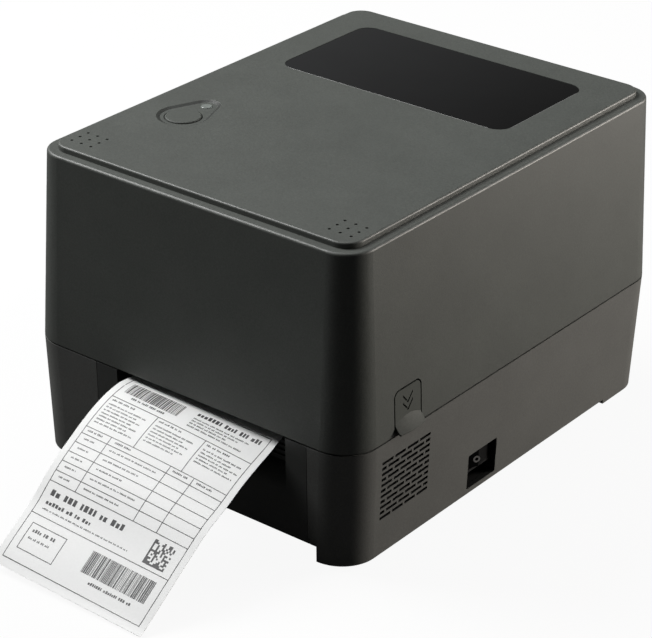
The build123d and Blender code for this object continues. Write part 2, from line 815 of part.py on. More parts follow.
def cover_shell():
    """Tapered lid with its plateau, window seat, button dish, notches and hinge lugs."""
    shell = cover_block(cover_bottom, rim_height)
    shell = fillet(shell.edges().group_by(Axis.Z)[-1], rim_round)
    width, depth, radius = plateau_size(plateau_inset)
    plateau = extrude(Plane.XY.offset(rim_height - 2) * RectangleRounded(width, depth, radius),
                      plateau_rise + 2)
    plateau = fillet(plateau.edges().group_by(Axis.Z)[-1], plateau_round)
    shell += plateau
    shell -= cover_block(cover_bottom - 1, rim_height - wall, wall)
    width, depth, radius = plateau_size(plateau_inset + wall)
    shell -= extrude(Plane.XY.offset(rim_height - wall - 1) * RectangleRounded(width, depth, radius),
                     top_height - plateau_skin - (rim_height - wall - 1))
    shell -= window_pocket()
    shell -= button_dish()
    shell -= post(button_radius + button_gap, button_x, button_y, top_height - 6, top_height + 1)
    shell -= post(lamp_radius + run, lamp_x, lamp_y, top_height - 6, top_height + 1)
    shell -= grip_dots()
    for x, y in button_posts:
        pillar = post(2.6, x, y, button_board_top, top_height - plateau_skin + 0.5)
        shell += pillar
        shell -= post(1.1, x, y, button_board_top - 1, button_board_top + 4)
    for x, y in carriage_posts:
        shell += post(4.0, x, y, carriage_top, top_height - plateau_skin + 0.5)
        shell -= post(1.5, x, y, carriage_top - 1, carriage_top + 6)
    shell -= both_sides(latch_place * latch_notch())
    shell += both_sides(latch_place * latch_rails())
    shell += both_sides(rod(1.5, hook_x - 1.0, hook_x + hook_thick + 3, hook_pivot_y, hook_pivot_z))
    far = case_depth
    low_rear = block(-far, far, hinge_y, far, cover_bottom - 1, hinge_z)
    shell -= low_rear - rod(ear_radius, -far, far, hinge_y, hinge_z)
    for x in (-hinge_x, hinge_x):
        shell -= rod(ear_radius + 0.5, x - ear_half - 0.7, x + ear_half + 0.7, hinge_y, hinge_z)
        shell -= block(x - ear_half - 0.7, x + ear_half + 0.7, hinge_y - 7, far, 60, hinge_z)
        for side in (-1, 1):
            x0, x1 = sorted((x + side * (ear_half + 1.1), x + side * (ear_half + 1.1 + lug_thick)))
            lug = rod(ear_radius - 0.1, x0, x1, hinge_y, hinge_z)
            web = [(hinge_y - ear_radius + 0.1, hinge_z), (hinge_y + 4.4, hinge_z),
                   (hinge_y + 3.4, hinge_z + 18), (hinge_y + 1.6, hinge_z + 18)]
            shell += lug + profile(web, x0, x1)
            shell -= rod(pin_radius, x0 - 1, x1 + 1, hinge_y, hinge_z)
    return shell


def window_pocket():
    deep = top_height - window_thick
    seat = Plane.XY.offset(deep) * Pos(window_x, window_y)
    pocket = extrude(seat * RectangleRounded(window_width, window_depth, window_radius), 5)
    through = RectangleRounded(window_width - 2 * window_ledge, window_depth - 2 * window_ledge,
                               window_radius - window_ledge)
    pocket += extrude(Plane.XY.offset(rim_height - 10) * Pos(window_x, window_y) * through, 20)
    return pocket


def window():
    gap = 0.15
    deep = top_height - window_thick
    pane = RectangleRounded(window_width - 2 * gap, window_depth - 2 * gap, window_radius - gap)
    glass = extrude(Plane.XY.offset(deep) * Pos(window_x, window_y) * pane, window_thick - 0.1)
    return chamfer(glass.edges().group_by(Axis.Z)[-1], 0.25)


def pear(large, small):
    """Outline of the dish around the button and the light."""
    return make_hull((Pos(button_x, button_y) * Circle(large)).edges()
                     + (Pos(lamp_x, lamp_y) * Circle(small)).edges())


def button_dish():
    rim = Plane.XY.offset(top_height) * pear(dish_radius, dish_lamp_radius)
    base = Plane.XY.offset(top_height - dish_depth) * pear(dish_radius - dish_slope,
                                                           dish_lamp_radius - dish_slope)
    return loft([base, rim], ruled=True)


def grip_dots():
    dots = []
    for side in (-1, 1):
        for i in (-1, 0, 1):
            for j in (-1, 0, 1):
                x = side * dot_centre_x + i * dot_pitch_x
                y = dot_centre_y + j * dot_pitch_y
                dots.append(post(dot_radius, x, y, top_height - dot_depth, top_height + 1))
    return dots


def feed_button():
    """Round cap with a collar that keeps it under the cover's skin."""
    top = top_height - 0.25
    low = top_height - plateau_skin - 0.9
    cap = post(button_radius, button_x, button_y, low - 0.5, top)
    cap = fillet(cap.edges().group_by(Axis.Z)[-1], 0.9)
    collar = post(button_radius + 1.6, button_x, button_y, low - 1.4, low + 0.3)
    collar -= post(button_radius - 1, button_x, button_y, low - 2, low - 0.5)
    stem = post(2.5, button_x, button_y, low - 2.0, low)
    return cap + collar + stem


def status_lens():
    """Clear light pipe with a domed head and a collar under the skin."""
    skin = top_height - plateau_skin
    lens = post(lamp_radius, lamp_x, lamp_y, skin - 2.6, top_height - dish_depth + 0.5)
    lens = fillet(lens.edges().group_by(Axis.Z)[-1], 0.7)
    return lens + post(lamp_radius + 1.4, lamp_x, lamp_y, skin - 1.2, skin)


def button_board():
    low = button_board_top - 1.6
    board = block(button_x - 17, button_x + 17, button_y - 15, lamp_y + 8, low, button_board_top)
    for x, y in button_posts:
        board -= post(1.3, x, y, low - 1, button_board_top + 1)
    return board + feed_switch() + status_led()


def button_board_screws():
    low = button_board_top - 1.6
    return [post(1.0, x, y, low, button_board_top + 3.6) + post(2.2, x, y, low - 1.4, low)
            for x, y in button_posts]


def feed_switch():
    skin = top_height - plateau_skin
    tip = skin - 0.9 - 2.0 - button_travel - slip
    body = block(button_x - 3, button_x + 3, button_y - 3, button_y + 3,
                 button_board_top - 0.1, button_board_top + 0.7)
    return body + post(1.6, button_x, button_y, button_board_top + 0.6, tip)


def status_led():
    return block(lamp_x - 1.6, lamp_x + 1.6, lamp_y - 1.0, lamp_y + 1.0,
                 button_board_top - 0.1, top_height - plateau_skin - 2.8)


def latch_notch():
    """Opening in the cover's side, in the latch's own frame."""
    half = notch_width / 2
    hole = block(-3 * wall, 2 * wall, -half, half, -10, notch_top)
    tops = hole.edges().filter_by(Axis.X).group_by(Axis.Z)[-1]
    return fillet(tops, notch_radius)


def latch_rails():
    """Two channels that hold the sliding tab against the wall, and the hook's pivot plate."""
    rails = None
    high = flange_top + 5
    for side in (-1, 1):
        y0, y1 = sorted((side * (flange_half + slip), side * 18.0))
        l0, l1 = sorted((side * (flange_half - 1.5), side * 18.0))
        rail = block(-7.2, -wall + 0.4, y0, y1, 5, high) + block(-7.2, -5.5, l0, l1, 5, high)
        rails = rail if rails is None else rails + rail
    rails += block(-9.2, -7.0, -18, 2, 14, 25)
    stop = flange_top + spring_length
    return rails + block(-7.2, -wall + 0.4, 4.5, 11.5, stop, stop + 2)


def latch_scoop():
    """Curved thumb lip of the tab: bowed in plan, hollow in profile."""
    face = [ThreePointArc((-scoop_step, scoop_top), (lip_reach * 0.36, 5.2), (lip_reach, lip_level)),
            ThreePointArc((lip_reach, lip_level), (lip_reach + 0.2, 1.0), (lip_reach - 0.4, 0.6)),
            ThreePointArc((lip_reach - 0.4, 0.6), (0.85, 2.95), (-1.6, 5.6)),
            Polyline((-1.6, 5.6), (-wall - 0.4, 5.6), (-wall - 0.4, scoop_top), (-scoop_step, scoop_top))]
    sheet = Plane.XZ * make_face(Curve() + face)
    turning = Axis((-scoop_bow, 0, 0), (0, 0, 1))
    bowed = revolve(sheet, axis=turning, revolution_arc=30)
    bowed = Pos(-scoop_bow, 0, 0) * Rot(0, 0, -15) * Pos(scoop_bow, 0, 0) * bowed
    half = notch_width / 2 - latch_gap
    plan = Pos((lip_reach - 20) / 2 + 0.2, 0) * RectangleRounded(lip_reach + 20, 2 * half, 2.6)
    lip = bowed & extrude(Plane.XY.offset(-1) * plan, scoop_top + 2)
    return lip - block(-wall - 1, slip, -half, half, -1, latch_travel + 0.2)


def latch_tab():
    """Sliding tab with two chevrons, its thumb lip and the flange behind the wall."""
    half = notch_width / 2 - latch_gap
    plate = block(-wall - 0.5, 0, -half, half, 5.6, notch_top - latch_gap)
    tops = plate.edges().filter_by(Axis.X).group_by(Axis.Z)[-1]
    plate = fillet(tops, notch_radius - latch_gap)
    arch = extrude(Plane.YZ.offset(-scoop_step) * Pos(0, scoop_top - scoop_arch) * Circle(scoop_arch), 2)
    tab = plate - arch + latch_scoop()
    tab += block(-wall - 2.0, -wall - 0.4, -flange_half, flange_half, flange_low, flange_top)
    for apex in (12.2, 16.6):
        rise, stroke = chevron_rise, chevron_stroke
        points = [(-chevron_half, apex + rise), (0, apex), (chevron_half, apex + rise),
                  (chevron_half, apex + rise - stroke), (0, apex - stroke),
                  (-chevron_half, apex + rise - stroke)]
        face = make_face(Polyline(*points, close=True))
        tab -= extrude(Plane.YZ.offset(-0.6) * face, 1.0)
    nub_y = hook_pivot_y + hook_arm - latch_y
    reach = side_x - hook_x
    lean = reach * cover_side_draft
    nub_low = hook_pivot_z + 3.7 + slip + lean - seam_height
    tab += block(-reach, -wall - 1.0, nub_y - 1.5, nub_y + 1.5, nub_low, nub_low + 2.8)
    return tab


def latch_hook():
    """Lever beside the tab; its nose stands in front of the striker."""
    x0, x1 = hook_x, hook_x + hook_thick
    foot = striker_z - striker_radius - slip
    front = striker_y - striker_radius - slip
    arm_z = hook_pivot_z + 3.7
    lever = profile([(hook_pivot_y - 3.5, hook_pivot_z), (hook_pivot_y - 3.5, foot - 3),
                     (front, foot - 3), (front, hook_pivot_z)], x0, x1)
    lever += rod(4.0, x0, x1, hook_pivot_y, hook_pivot_z)
    lever += profile([(hook_pivot_y, hook_pivot_z - 2), (hook_pivot_y + hook_arm + 2, arm_z - 3.5),
                      (hook_pivot_y + hook_arm + 2, arm_z), (hook_pivot_y, arm_z)], x0, x1)
    return lever - rod(1.5 + run, x0 - 1, x1 + 1, hook_pivot_y, hook_pivot_z)


def latch_spring():
    """Coil spring above the tab's flange, as a plain tube."""
    tube = extrude(Plane.XY.offset(flange_top) * (Circle(1.7) - Circle(1.1)), spring_length)
    return Pos(-wall - 1.8, 8, 0) * tube


def hinge_pins():
    reach = ear_half + 1.1 + lug_thick
    return [rod(pin_radius, x - reach, x + reach, hinge_y, hinge_z) for x in (-hinge_x, hinge_x)]


def ribbon_carriage():
    """Folded steel frame under the cover's top: two cheeks and a bridge."""
    left, right = plate_left, plate_right
    front, rear = platen_y - 8, supply_y + 30
    cheek = [(front, carriage_low), (front + 48, carriage_low), (rear, 112), (rear, 150),
             (rear - 22, carriage_top), (front + 22, carriage_top), (front, 150)]
    frame = profile(cheek, left - plate_thick, left) + profile(cheek, right, right + plate_thick)
    frame += block(left - 1, right + 1, front + 22, rear - 22, carriage_top - 1.5, carriage_top)
    frame += block(left - 1, right + 1, front + 6, front + 24, spring_top, spring_top + 1.5)
    ends = (left - plate_thick - 1, right + plate_thick + 1)
    frame -= rod(3.0 + run, *ends, supply_y, supply_z)
    frame -= rod(3.0 + run, *ends, take_up_y, take_up_z)
    frame -= rod(2.5, *ends, head_pivot_y, head_pivot_z)
    frame -= rod(2.0, ends[0], left + 1, ribbon_idler_y, ribbon_idler_z)
    for x, y in carriage_posts:
        frame -= post(1.8, x, y, carriage_top - 3, carriage_top + 1)
    return frame


def carriage_screws():
    low = carriage_top - 1.5
    return [post(1.4, x, y, low, carriage_top + 5.5) + post(3.2, x, y, low - 2, low)
            for x, y in carriage_posts]


def spindle(y, z, extra):
    """Ribbon spindle: a round body between the cheeks with a journal at each end."""
    left, right = plate_left, plate_right
    body = rod(5.0, left + slip, right - slip, y, z)
    return body + rod(3.0, left - plate_thick - extra, right + plate_thick + 1, y, z)


def ribbon_core(y, z):
    x0, x1 = mech_x - ribbon_width / 2, mech_x + ribbon_width / 2
    return rod(7.5, x0, x1, y, z) - rod(5.0, x0 - 1, x1 + 1, y, z)


def ribbon_roll(radius, y, z):
    x0, x1 = mech_x - ribbon_width / 2, mech_x + ribbon_width / 2
    return rod(radius, x0 + 1, x1 - 1, y, z) - rod(7.5, x0 - 1, x1 + 1, y, z)


def take_up_gear():
    return gear_x_axis(take_up_teeth, gear_module, take_up_turn, 3.0, plate_left - plate_thick - 5.5,
                       4.5, take_up_y, take_up_z)


def ribbon_idler():
    return gear_x_axis(ribbon_idler_teeth, gear_module, ribbon_idler_turn, 2.0 + run,
                       plate_left - plate_thick - 5.5, 4.5, ribbon_idler_y, ribbon_idler_z)


def ribbon_idler_stud():
    x0 = plate_left - plate_thick - 5.9
    stud = rod(2.0, x0, plate_left, ribbon_idler_y, ribbon_idler_z)
    return stud + rod(3.4, x0 - 1.2, x0, ribbon_idler_y, ribbon_idler_z)


def head_pivot_pin():
    return rod(2.5, plate_left - plate_thick, plate_right + plate_thick, head_pivot_y, head_pivot_z)


def head_bracket():
    """Folded bracket that carries the heat sink and turns on the pivot pin."""
    x0, x1 = mech_x - 58, mech_x + 58
    low = head_low + 7
    front, rear = platen_y - 12, platen_y + 20
    ear = [(front, low), (front, low + 4), (head_pivot_y - 6, head_pivot_z + 2),
           (head_pivot_y, head_pivot_z + 5), (head_pivot_y + 5, head_pivot_z),
           (head_pivot_y + 3, head_pivot_z - 5), (rear, low)]
    bracket = block(x0, x1, front, rear, low, low + 2)
    bracket += profile(ear, x0, x0 + 2) + profile(ear, x1 - 2, x1)
    return bracket - rod(2.5 + run, x0 - 1, x1 + 1, head_pivot_y, head_pivot_z)


def heat_sink():
    x0, x1 = mech_x - 55, mech_x + 55
    low = head_low + 1
    sink = block(x0, x1, platen_y - 11, platen_y + 18, low, head_low + 7)
    for i in range(8):
        x = x0 + 9 + i * 12.5
        sink -= block(x, x + 5, platen_y - 1, platen_y + 19, low + 3, head_low + 8)
    return sink


def thermal_head():
    """Ceramic strip with its raised print line over the platen."""
    x0, x1 = mech_x - 55, mech_x + 55
    strip = block(x0, x1, platen_y - 10, platen_y + 12, head_low + 0.25, head_low + 1)
    glaze = block(x0, x1, platen_y - 1.2, platen_y + 1.2, head_low, head_low + 0.3)
    return strip + glaze


def head_springs():
    low = head_low + 9
    springs = []
    for x in (mech_x - 36, mech_x + 36):
        ring = Circle(4.5) - Circle(3.4)
        springs.append(extrude(Plane.XY.offset(low) * Pos(x, platen_y + 6) * ring, spring_top - low))
    return springs


def tear_screws():
    y0 = frame_front - 1.2
    screws = []
    for x in tear_screw_x:
        shank = along_y(1.4, x, tear_screw_z, y0, frame_front + 1.9)
        screws.append(shank + along_y(2.8, x, tear_screw_z, y0 - 0.9, y0))
    return screws


# Places that several pieces share
striker_y = latch_y + 2.3
striker_z = 66.0
hook_pivot_y = striker_y - striker_radius - slip - 2.2
bar_z = label_height + label_thick / 2 + web_gap + bar_radius
sensor_rail_y = (platen_y + 22, platen_y + 30)
sensor_rail_z = 61.5
idler_y = platen_y + 21.5
pair_gap = (platen_teeth + idler_teeth) * gear_module / 2
idler_z = platen_z - math.sqrt(pair_gap ** 2 - 21.5 ** 2)
motor_pair = (pinion_teeth + idler_teeth) * gear_module / 2
motor_y = idler_y + 18.0
motor_z = idler_z - math.sqrt(motor_pair ** 2 - 18.0 ** 2)
motor_hole = motor_size / 2 - 4.5
motor_screws = [(motor_y + s * motor_hole, motor_z + t * motor_hole) for s, t in ((1, 1), (1, -1))]
platen_turn = 0.0
to_idler = math.degrees(math.atan2(idler_z - platen_z, idler_y - platen_y))
idler_turn = meshed_turn(platen_teeth, platen_turn, to_idler, idler_teeth)
to_motor = math.degrees(math.atan2(motor_z - idler_z, motor_y - idler_y))
pinion_turn = meshed_turn(idler_teeth, idler_turn, to_motor, pinion_teeth)
take_up_pair = (take_up_teeth + ribbon_idler_teeth) * gear_module / 2
ribbon_idler_y = take_up_y - 8.0
ribbon_idler_z = take_up_z - math.sqrt(take_up_pair ** 2 - 8.0 ** 2)
take_up_turn = 0.0
to_ribbon_idler = math.degrees(math.atan2(ribbon_idler_z - take_up_z, ribbon_idler_y - take_up_y))
ribbon_idler_turn = meshed_turn(take_up_teeth, take_up_turn, to_ribbon_idler, ribbon_idler_teeth)
spring_top = head_low + 24.0
button_board_top = top_height - plateau_skin - 5.2
button_posts = [(button_x - 14, lamp_y + 4), (button_x + 14, lamp_y + 4), (button_x + 14, button_y - 12)]
carriage_posts = [(x, y) for x in (mech_x - 50, mech_x + 50) for y in (head_pivot_y - 6, supply_y - 2)]
board_posts = [(x, y) for x in (29 - side_x, side_x - 29) for y in (frame_rear + 20, rear_y - 21)]
foot_radius = 6.5
foot_places = [(x, y) for x in (27 - side_x, side_x - 27) for y in (front_y + 37, rear_y - 31)]
tear_screw_x = (mech_x - 40, mech_x + 40)
tear_screw_z = 37.0
bracket_screw_heights = (40.0, 58.0)
tray_half = base_side(tray_low) - wall - 1.0
tray_rear = rear_y - 22
post_x = tray_half - 11
tray_posts = [(-post_x, frame_rear + 12), (-post_x, roll_y - 22), (-post_x, tray_rear - 6),
              (post_x, switch_y + 30), (post_x, roll_y), (post_x, tray_rear - 6),
              (-60, frame_rear + 8), (60, frame_rear + 8)]
rocker_sweep = math.hypot(rocker_half, 2.0)
switch_rear_x = base_side(rocker_z) - wall - 20
socket_low = board_low + board_thick
socket_back = -base_front(socket_low) - 1.0
rear_sockets = {
    "power": (46.0, 60.0, socket_low, socket_low + 11.0),
    "usb": (20.0, 32.0, socket_low, socket_low + 10.8),
    "serial": (-30.0, 1.0, socket_low, socket_low + 12.5),
}
latch_place = Pos(side_x, latch_y, seam_height) * Rot(0, -draft_angle, 0)
base_cut_outside = (block(side_x - 9, case_width, -case_depth, case_depth, 0, 100)
                    - base_block(40, seam_height + 10, wall / 2))


def right_and_left(shape):
    return {"right": shape, "left": mirror(shape, about=Plane.YZ)}


pieces = {
    "base_shell": base_shell(),
    "front_panel": front_panel(),
    "floor_plate": floor_plate(),
    "rubber_feet": rubber_feet(),
    "lower_frame": lower_frame(),
    "platen_bushes": platen_bushes(),
    "platen_shaft": platen_shaft(),
    "platen_roller": platen_roller(),
    "platen_gear": platen_gear(),
    "idler_gear": idler_gear(),
    "idler_stud": idler_stud(),
    "stepper_motor": stepper_motor(),
    "motor_shaft": motor_shaft(),
    "motor_pinion": motor_pinion(),
    "tear_bar": tear_bar(),
    "label_sensor": label_sensor(),
    "label_roll": label_roll(),
    "roll_core": roll_core(),
    "label_strip": label_strip(),
    "media_tray": media_tray(),
    "media_guide_left": media_guide(-1),
    "media_guide_right": media_guide(1),
    "guide_pinion": guide_pinion(),
    "main_board": main_board(),
    "power_inlet": power_inlet(),
    "usb_port": usb_port(),
    "serial_port": serial_port(),
    "power_switch": power_switch(),
    "power_rocker": power_rocker(),
    "hinge_brackets": hinge_brackets(),
    "latch_strikers": latch_strikers(),
    "frame_rods": [web_guide_bar()] + sensor_rails(),
    "base_screws": board_screws() + bracket_screws() + motor_screw_set() + tear_screws(),
    "cover_screws": carriage_screws() + button_board_screws(),
    "cover_shell": cover_shell(),
    "window": window(),
    "feed_button": feed_button(),
    "status_lens": status_lens(),
    "button_board": button_board(),
    "hinge_pins": hinge_pins(),
    "ribbon_carriage": ribbon_carriage(),
    "supply_spindle": spindle(supply_y, supply_z, 1.0),
    "supply_ribbon": ribbon_roll(supply_radius, supply_y, supply_z) + ribbon_core(supply_y, supply_z),
    "take_up_spindle": spindle(take_up_y, take_up_z, 6.5),
    "take_up_ribbon": ribbon_roll(take_up_radius, take_up_y, take_up_z) + ribbon_core(take_up_y, take_up_z),
    "take_up_gear": take_up_gear(),
    "ribbon_idler": ribbon_idler(),
    "ribbon_idler_stud": ribbon_idler_stud(),
    "head_pivot_pin": head_pivot_pin(),
    "head_bracket": head_bracket(),
    "heat_sink": heat_sink(),
    "thermal_head": thermal_head(),
    "head_springs": head_springs(),
}
for side, shape in right_and_left(latch_place * latch_tab()).items():
    pieces["latch_tab_" + side] = shape
for side, shape in right_and_left(latch_place * latch_spring()).items():
    pieces["latch_spring_" + side] = shape
for side, shape in right_and_left(latch_hook()).items():
    pieces["latch_hook_" + side] = shape

front_end = min(solid.bounding_box().min.Y for solid in pieces["label_strip"].solids())
origin_shift = -(front_end + rear_y) / 2

os.makedirs("parts", exist_ok=True)
for name, piece in pieces.items():
    solids = []
    for item in (piece if isinstance(piece, list) else [piece]):
        solids += item.solids()
    placed = Compound(children=[Pos(0, origin_shift, 0) * solid for solid in solids])
    export_step(placed, f"parts/{name}.step")
print("origin shift", round(origin_shift, 3), "nodes", len(pieces))
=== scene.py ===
# %% [markdown]
# # A desktop label printer with a clamshell cover
# This notebook dresses a finished CAD model of a small office printer. The shapes of the case,
# the latches and the mechanism come from the CAD frame and never change here. What is added is
# what a CAD file lacks: the grain of moulded plastic, the gloss of the smoked window, and a
# paper label with its print, which curls out of the front.

# %% Load the frame
import bpy
import math
import random
from mathutils import Euler, Matrix, Vector


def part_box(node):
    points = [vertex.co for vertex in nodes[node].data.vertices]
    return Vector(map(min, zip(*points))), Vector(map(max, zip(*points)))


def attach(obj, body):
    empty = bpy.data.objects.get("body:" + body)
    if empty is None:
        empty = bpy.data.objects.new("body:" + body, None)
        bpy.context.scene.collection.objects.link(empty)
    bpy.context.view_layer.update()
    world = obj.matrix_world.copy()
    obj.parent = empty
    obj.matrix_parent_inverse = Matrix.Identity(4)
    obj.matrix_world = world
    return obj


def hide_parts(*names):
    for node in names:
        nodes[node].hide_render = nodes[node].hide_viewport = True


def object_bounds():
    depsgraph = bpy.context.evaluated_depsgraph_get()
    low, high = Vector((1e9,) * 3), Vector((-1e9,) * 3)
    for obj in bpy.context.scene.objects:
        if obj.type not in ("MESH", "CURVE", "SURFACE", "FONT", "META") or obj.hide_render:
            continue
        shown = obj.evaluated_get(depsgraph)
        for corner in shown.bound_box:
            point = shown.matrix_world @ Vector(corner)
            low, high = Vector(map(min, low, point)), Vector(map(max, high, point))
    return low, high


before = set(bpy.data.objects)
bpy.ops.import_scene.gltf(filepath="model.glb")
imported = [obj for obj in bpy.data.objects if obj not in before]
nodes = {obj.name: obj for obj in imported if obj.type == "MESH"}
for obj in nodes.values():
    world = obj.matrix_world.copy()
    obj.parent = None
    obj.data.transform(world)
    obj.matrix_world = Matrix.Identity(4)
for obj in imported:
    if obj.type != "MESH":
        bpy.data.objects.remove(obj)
cad_box = [list(corner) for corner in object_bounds()]
print("CAD nodes:", len(nodes))
print("CAD box in metres:", cad_box)

# %% [markdown]
# ## Camera
# The photographer stood in front of the right corner and looked down a little. A camera could be
# aimed at a point by a constraint, but three angles say the same and can be read: a camera at
# rest looks straight down, the first angle tips it up from there, the second rolls it, and the
# third turns it about the upright. The long lens keeps the case's edges nearly parallel.

# %% Camera
camera_data = bpy.data.cameras.new("photo_camera")
camera_data.lens = 139.84
camera_data.sensor_width = 36.0
camera_data.clip_start = 0.05
camera = bpy.data.objects.new("photo_camera", camera_data)
camera_place = Vector((0.79433, -0.99377, 0.73489))
camera_angles = Euler([math.radians(degrees) for degrees in (62.839, -0.704, 38.161)])
camera.matrix_world = Matrix.LocRotScale(camera_place, camera_angles, None)
bpy.context.scene.collection.objects.link(camera)
bpy.context.scene.camera = camera
bpy.context.scene.view_settings.view_transform = "Standard"
print("camera stands", round(camera_place.length, 3), "m from the printer's middle")

# %% [markdown]
# ## Nodes that do sums
# A material in Blender is a small diagram of nodes. Much of the work here is plain sums on
# coordinates, so one helper makes a Math node from numbers and from other nodes' outputs alike.
# The floor and the sky also have to look white to the camera and yet send little light at the
# dark case. A Light Path node tells what kind of ray asks, and the second helper turns that
# into a share of white.


# %% Helpers for sums
def sum_node(tree, operation, *values):
    """A Math node; each value is a number or another node's output."""
    node = tree.nodes.new("ShaderNodeMath")
    node.operation = operation
    for socket, value in zip(node.inputs, values):
        if isinstance(value, (int, float)):
            socket.default_value = value
        else:
            tree.links.new(value, socket)
    return node.outputs[0]


def seen_ray_factor(tree, camera_share, mirror_share):
    """A number: camera_share for camera rays, mirror_share for glossy and transmission rays."""
    path = tree.nodes.new("ShaderNodeLightPath")
    seen = sum_node(tree, "MULTIPLY", path.outputs["Is Camera Ray"], camera_share)
    for ray in ("Is Glossy Ray", "Is Transmission Ray"):
        mirrored = sum_node(tree, "MULTIPLY", path.outputs[ray], mirror_share)
        seen = sum_node(tree, "MAXIMUM", seen, mirrored)
    return seen


print("Math nodes and ray shares are ready")

# %% [markdown]
# ## The white floor
# The printer stands on a white paper sweep, and its soft shadow lies on it. A floor that only
# glowed would lose the shadow, and one that only reflected would turn grey, so it does both: for
# rays from the camera it is white paper topped up with light of its own. For all other rays it
# is a dark grey, so it throws little light up at the dark walls.

# %% White floor
floor_reach = 6.0
floor_white, floor_bounce = 0.75, 0.05
floor_glow, floor_mirrored = 0.93, 0.05


def white_floor_material():
    material = bpy.data.materials.new("white_sweep")
    material.use_nodes = True
    tree = material.node_tree
    tree.nodes.clear()
    paper = tree.nodes.new("ShaderNodeBsdfDiffuse")
    tint = tree.nodes.new("ShaderNodeMix")
    tint.data_type = "RGBA"
    tint.inputs["A"].default_value = (floor_bounce, floor_bounce, floor_bounce, 1.0)
    tint.inputs["B"].default_value = (floor_white, floor_white, floor_white, 1.0)
    tree.links.new(seen_ray_factor(tree, 1.0, 0.0), tint.inputs["Factor"])
    tree.links.new(tint.outputs["Result"], paper.inputs["Color"])
    glow = tree.nodes.new("ShaderNodeEmission")
    mix = tree.nodes.new("ShaderNodeMixShader")
    tree.links.new(seen_ray_factor(tree, floor_glow, floor_mirrored), mix.inputs[0])
    tree.links.new(paper.outputs[0], mix.inputs[1])
    tree.links.new(glow.outputs[0], mix.inputs[2])
    out = tree.nodes.new("ShaderNodeOutputMaterial")
    tree.links.new(mix.outputs[0], out.inputs["Surface"])
    return material


floor_mesh = bpy.data.meshes.new("floor")
floor_mesh.from_pydata([(-floor_reach, -floor_reach, 0), (floor_reach, -floor_reach, 0),
                        (floor_reach, floor_reach, 0), (-floor_reach, floor_reach, 0)],
                       [], [(0, 1, 2, 3)])
floor = bpy.data.objects.new("floor", floor_mesh)
bpy.context.scene.collection.objects.link(floor)
floor_mesh.materials.append(white_floor_material())
print("floor reaches", floor_reach, "m each way")

# %% [markdown]
# ## The sky
# Behind the printer the picture is plain white, while the light that falls on the case from all
# round is faint. One world does both, with the same trick as the floor: the camera sees a white
# sky of strength 1, and the case is lit by a dim one. A dim sky is what leaves the near corner
# so dark between the two lighter walls.

# %% Sky
sky_strength = 0.014
sky_mirrored = 0.06


def white_sky():
    world = bpy.data.worlds.new("studio")
    bpy.context.scene.world = world
    world.use_nodes = True
    tree = world.node_tree
    tree.nodes.clear()
    mix = tree.nodes.new("ShaderNodeMixShader")
    tree.links.new(seen_ray_factor(tree, 1.0, sky_mirrored), mix.inputs[0])
    for slot, strength in ((1, sky_strength), (2, 1.0)):
        light = tree.nodes.new("ShaderNodeBackground")
        light.inputs["Color"].default_value = (1.0, 1.0, 1.0, 1.0)
        light.inputs["Strength"].default_value = strength
        tree.links.new(light.outputs[0], mix.inputs[slot])
    out = tree.nodes.new("ShaderNodeOutputWorld")
    tree.links.new(mix.outputs[0], out.inputs["Surface"])


white_sky()
print("sky strength for the object:", sky_strength)

# %% [markdown]
# ## The lamps
# The lamps stand where a product photographer puts them for a dark case. A large one high on the
# left lights the top, the front and the paper, and lets the raised panel shade the rim on the
# right. One low behind the right side lights that wall at a grazing angle, and two weak ones
# above and behind draw bright lines on the rounded edges. Nothing stands in front of the near
# corner. Square area lamps are used because their size sets how soft each shadow's edge is.


# %% Lamps
def soft_lamp(name, place, target, size, watts, colour=(1.0, 1.0, 1.0)):
    """A square area lamp that faces target and is not seen itself."""
    data = bpy.data.lights.new(name, "AREA")
    data.shape = "SQUARE"
    data.size = size
    data.energy = watts
    data.color = colour
    lamp = bpy.data.objects.new(name, data)
    lamp.visible_camera = False
    lamp.location = place
    aim = Vector(target) - Vector(place)
    lamp.rotation_euler = aim.to_track_quat("-Z", "Y").to_euler()
    bpy.context.scene.collection.objects.link(lamp)
    return lamp


case_middle = (0.0, 0.0, 0.1)
warm_white = (1.0, 0.93, 0.86)
lamps = [
    soft_lamp("left_key_lamp", (-1.10, -0.25, 1.35), case_middle, 0.9, 38.5),
    soft_lamp("overhead_lamp", (-0.30, 0.20, 1.70), case_middle, 0.8, 4.7),
    soft_lamp("rear_edge_lamp", (0.75, 1.15, 0.95), case_middle, 0.5, 3.6),
    soft_lamp("right_rear_lamp", (0.95, 1.15, 0.25), (0.1, 0.1, 0.1), 0.45, 19.0, warm_white),
]
print("lamps:", [lamp.name for lamp in lamps])

# %% [markdown]
# ## Helpers for materials
# Real surfaces are never one flat colour. Two kinds of noise do most of the work here: one well
# under a millimetre across that tips the surface (a bump), and a broad faint one that shifts the
# colour, as in a real moulding. Photographs of plastic could do the same, but the noise is tied
# to object coordinates, so it keeps its size in metres and stays put when the cover swings open.


# %% Noise, colour and bump
def new_material(name):
    material = bpy.data.materials.new(name)
    material.use_nodes = True
    tree = material.node_tree
    return material, tree, tree.nodes["Principled BSDF"]


def object_place(tree):
    """The point's place in the object's own coordinates."""
    return tree.nodes.new("ShaderNodeTexCoord").outputs["Object"]


def place_xyz(tree):
    """The same place as three separate numbers."""
    split = tree.nodes.new("ShaderNodeSeparateXYZ")
    tree.links.new(object_place(tree), split.inputs[0])
    return split.outputs["X"], split.outputs["Y"], split.outputs["Z"]


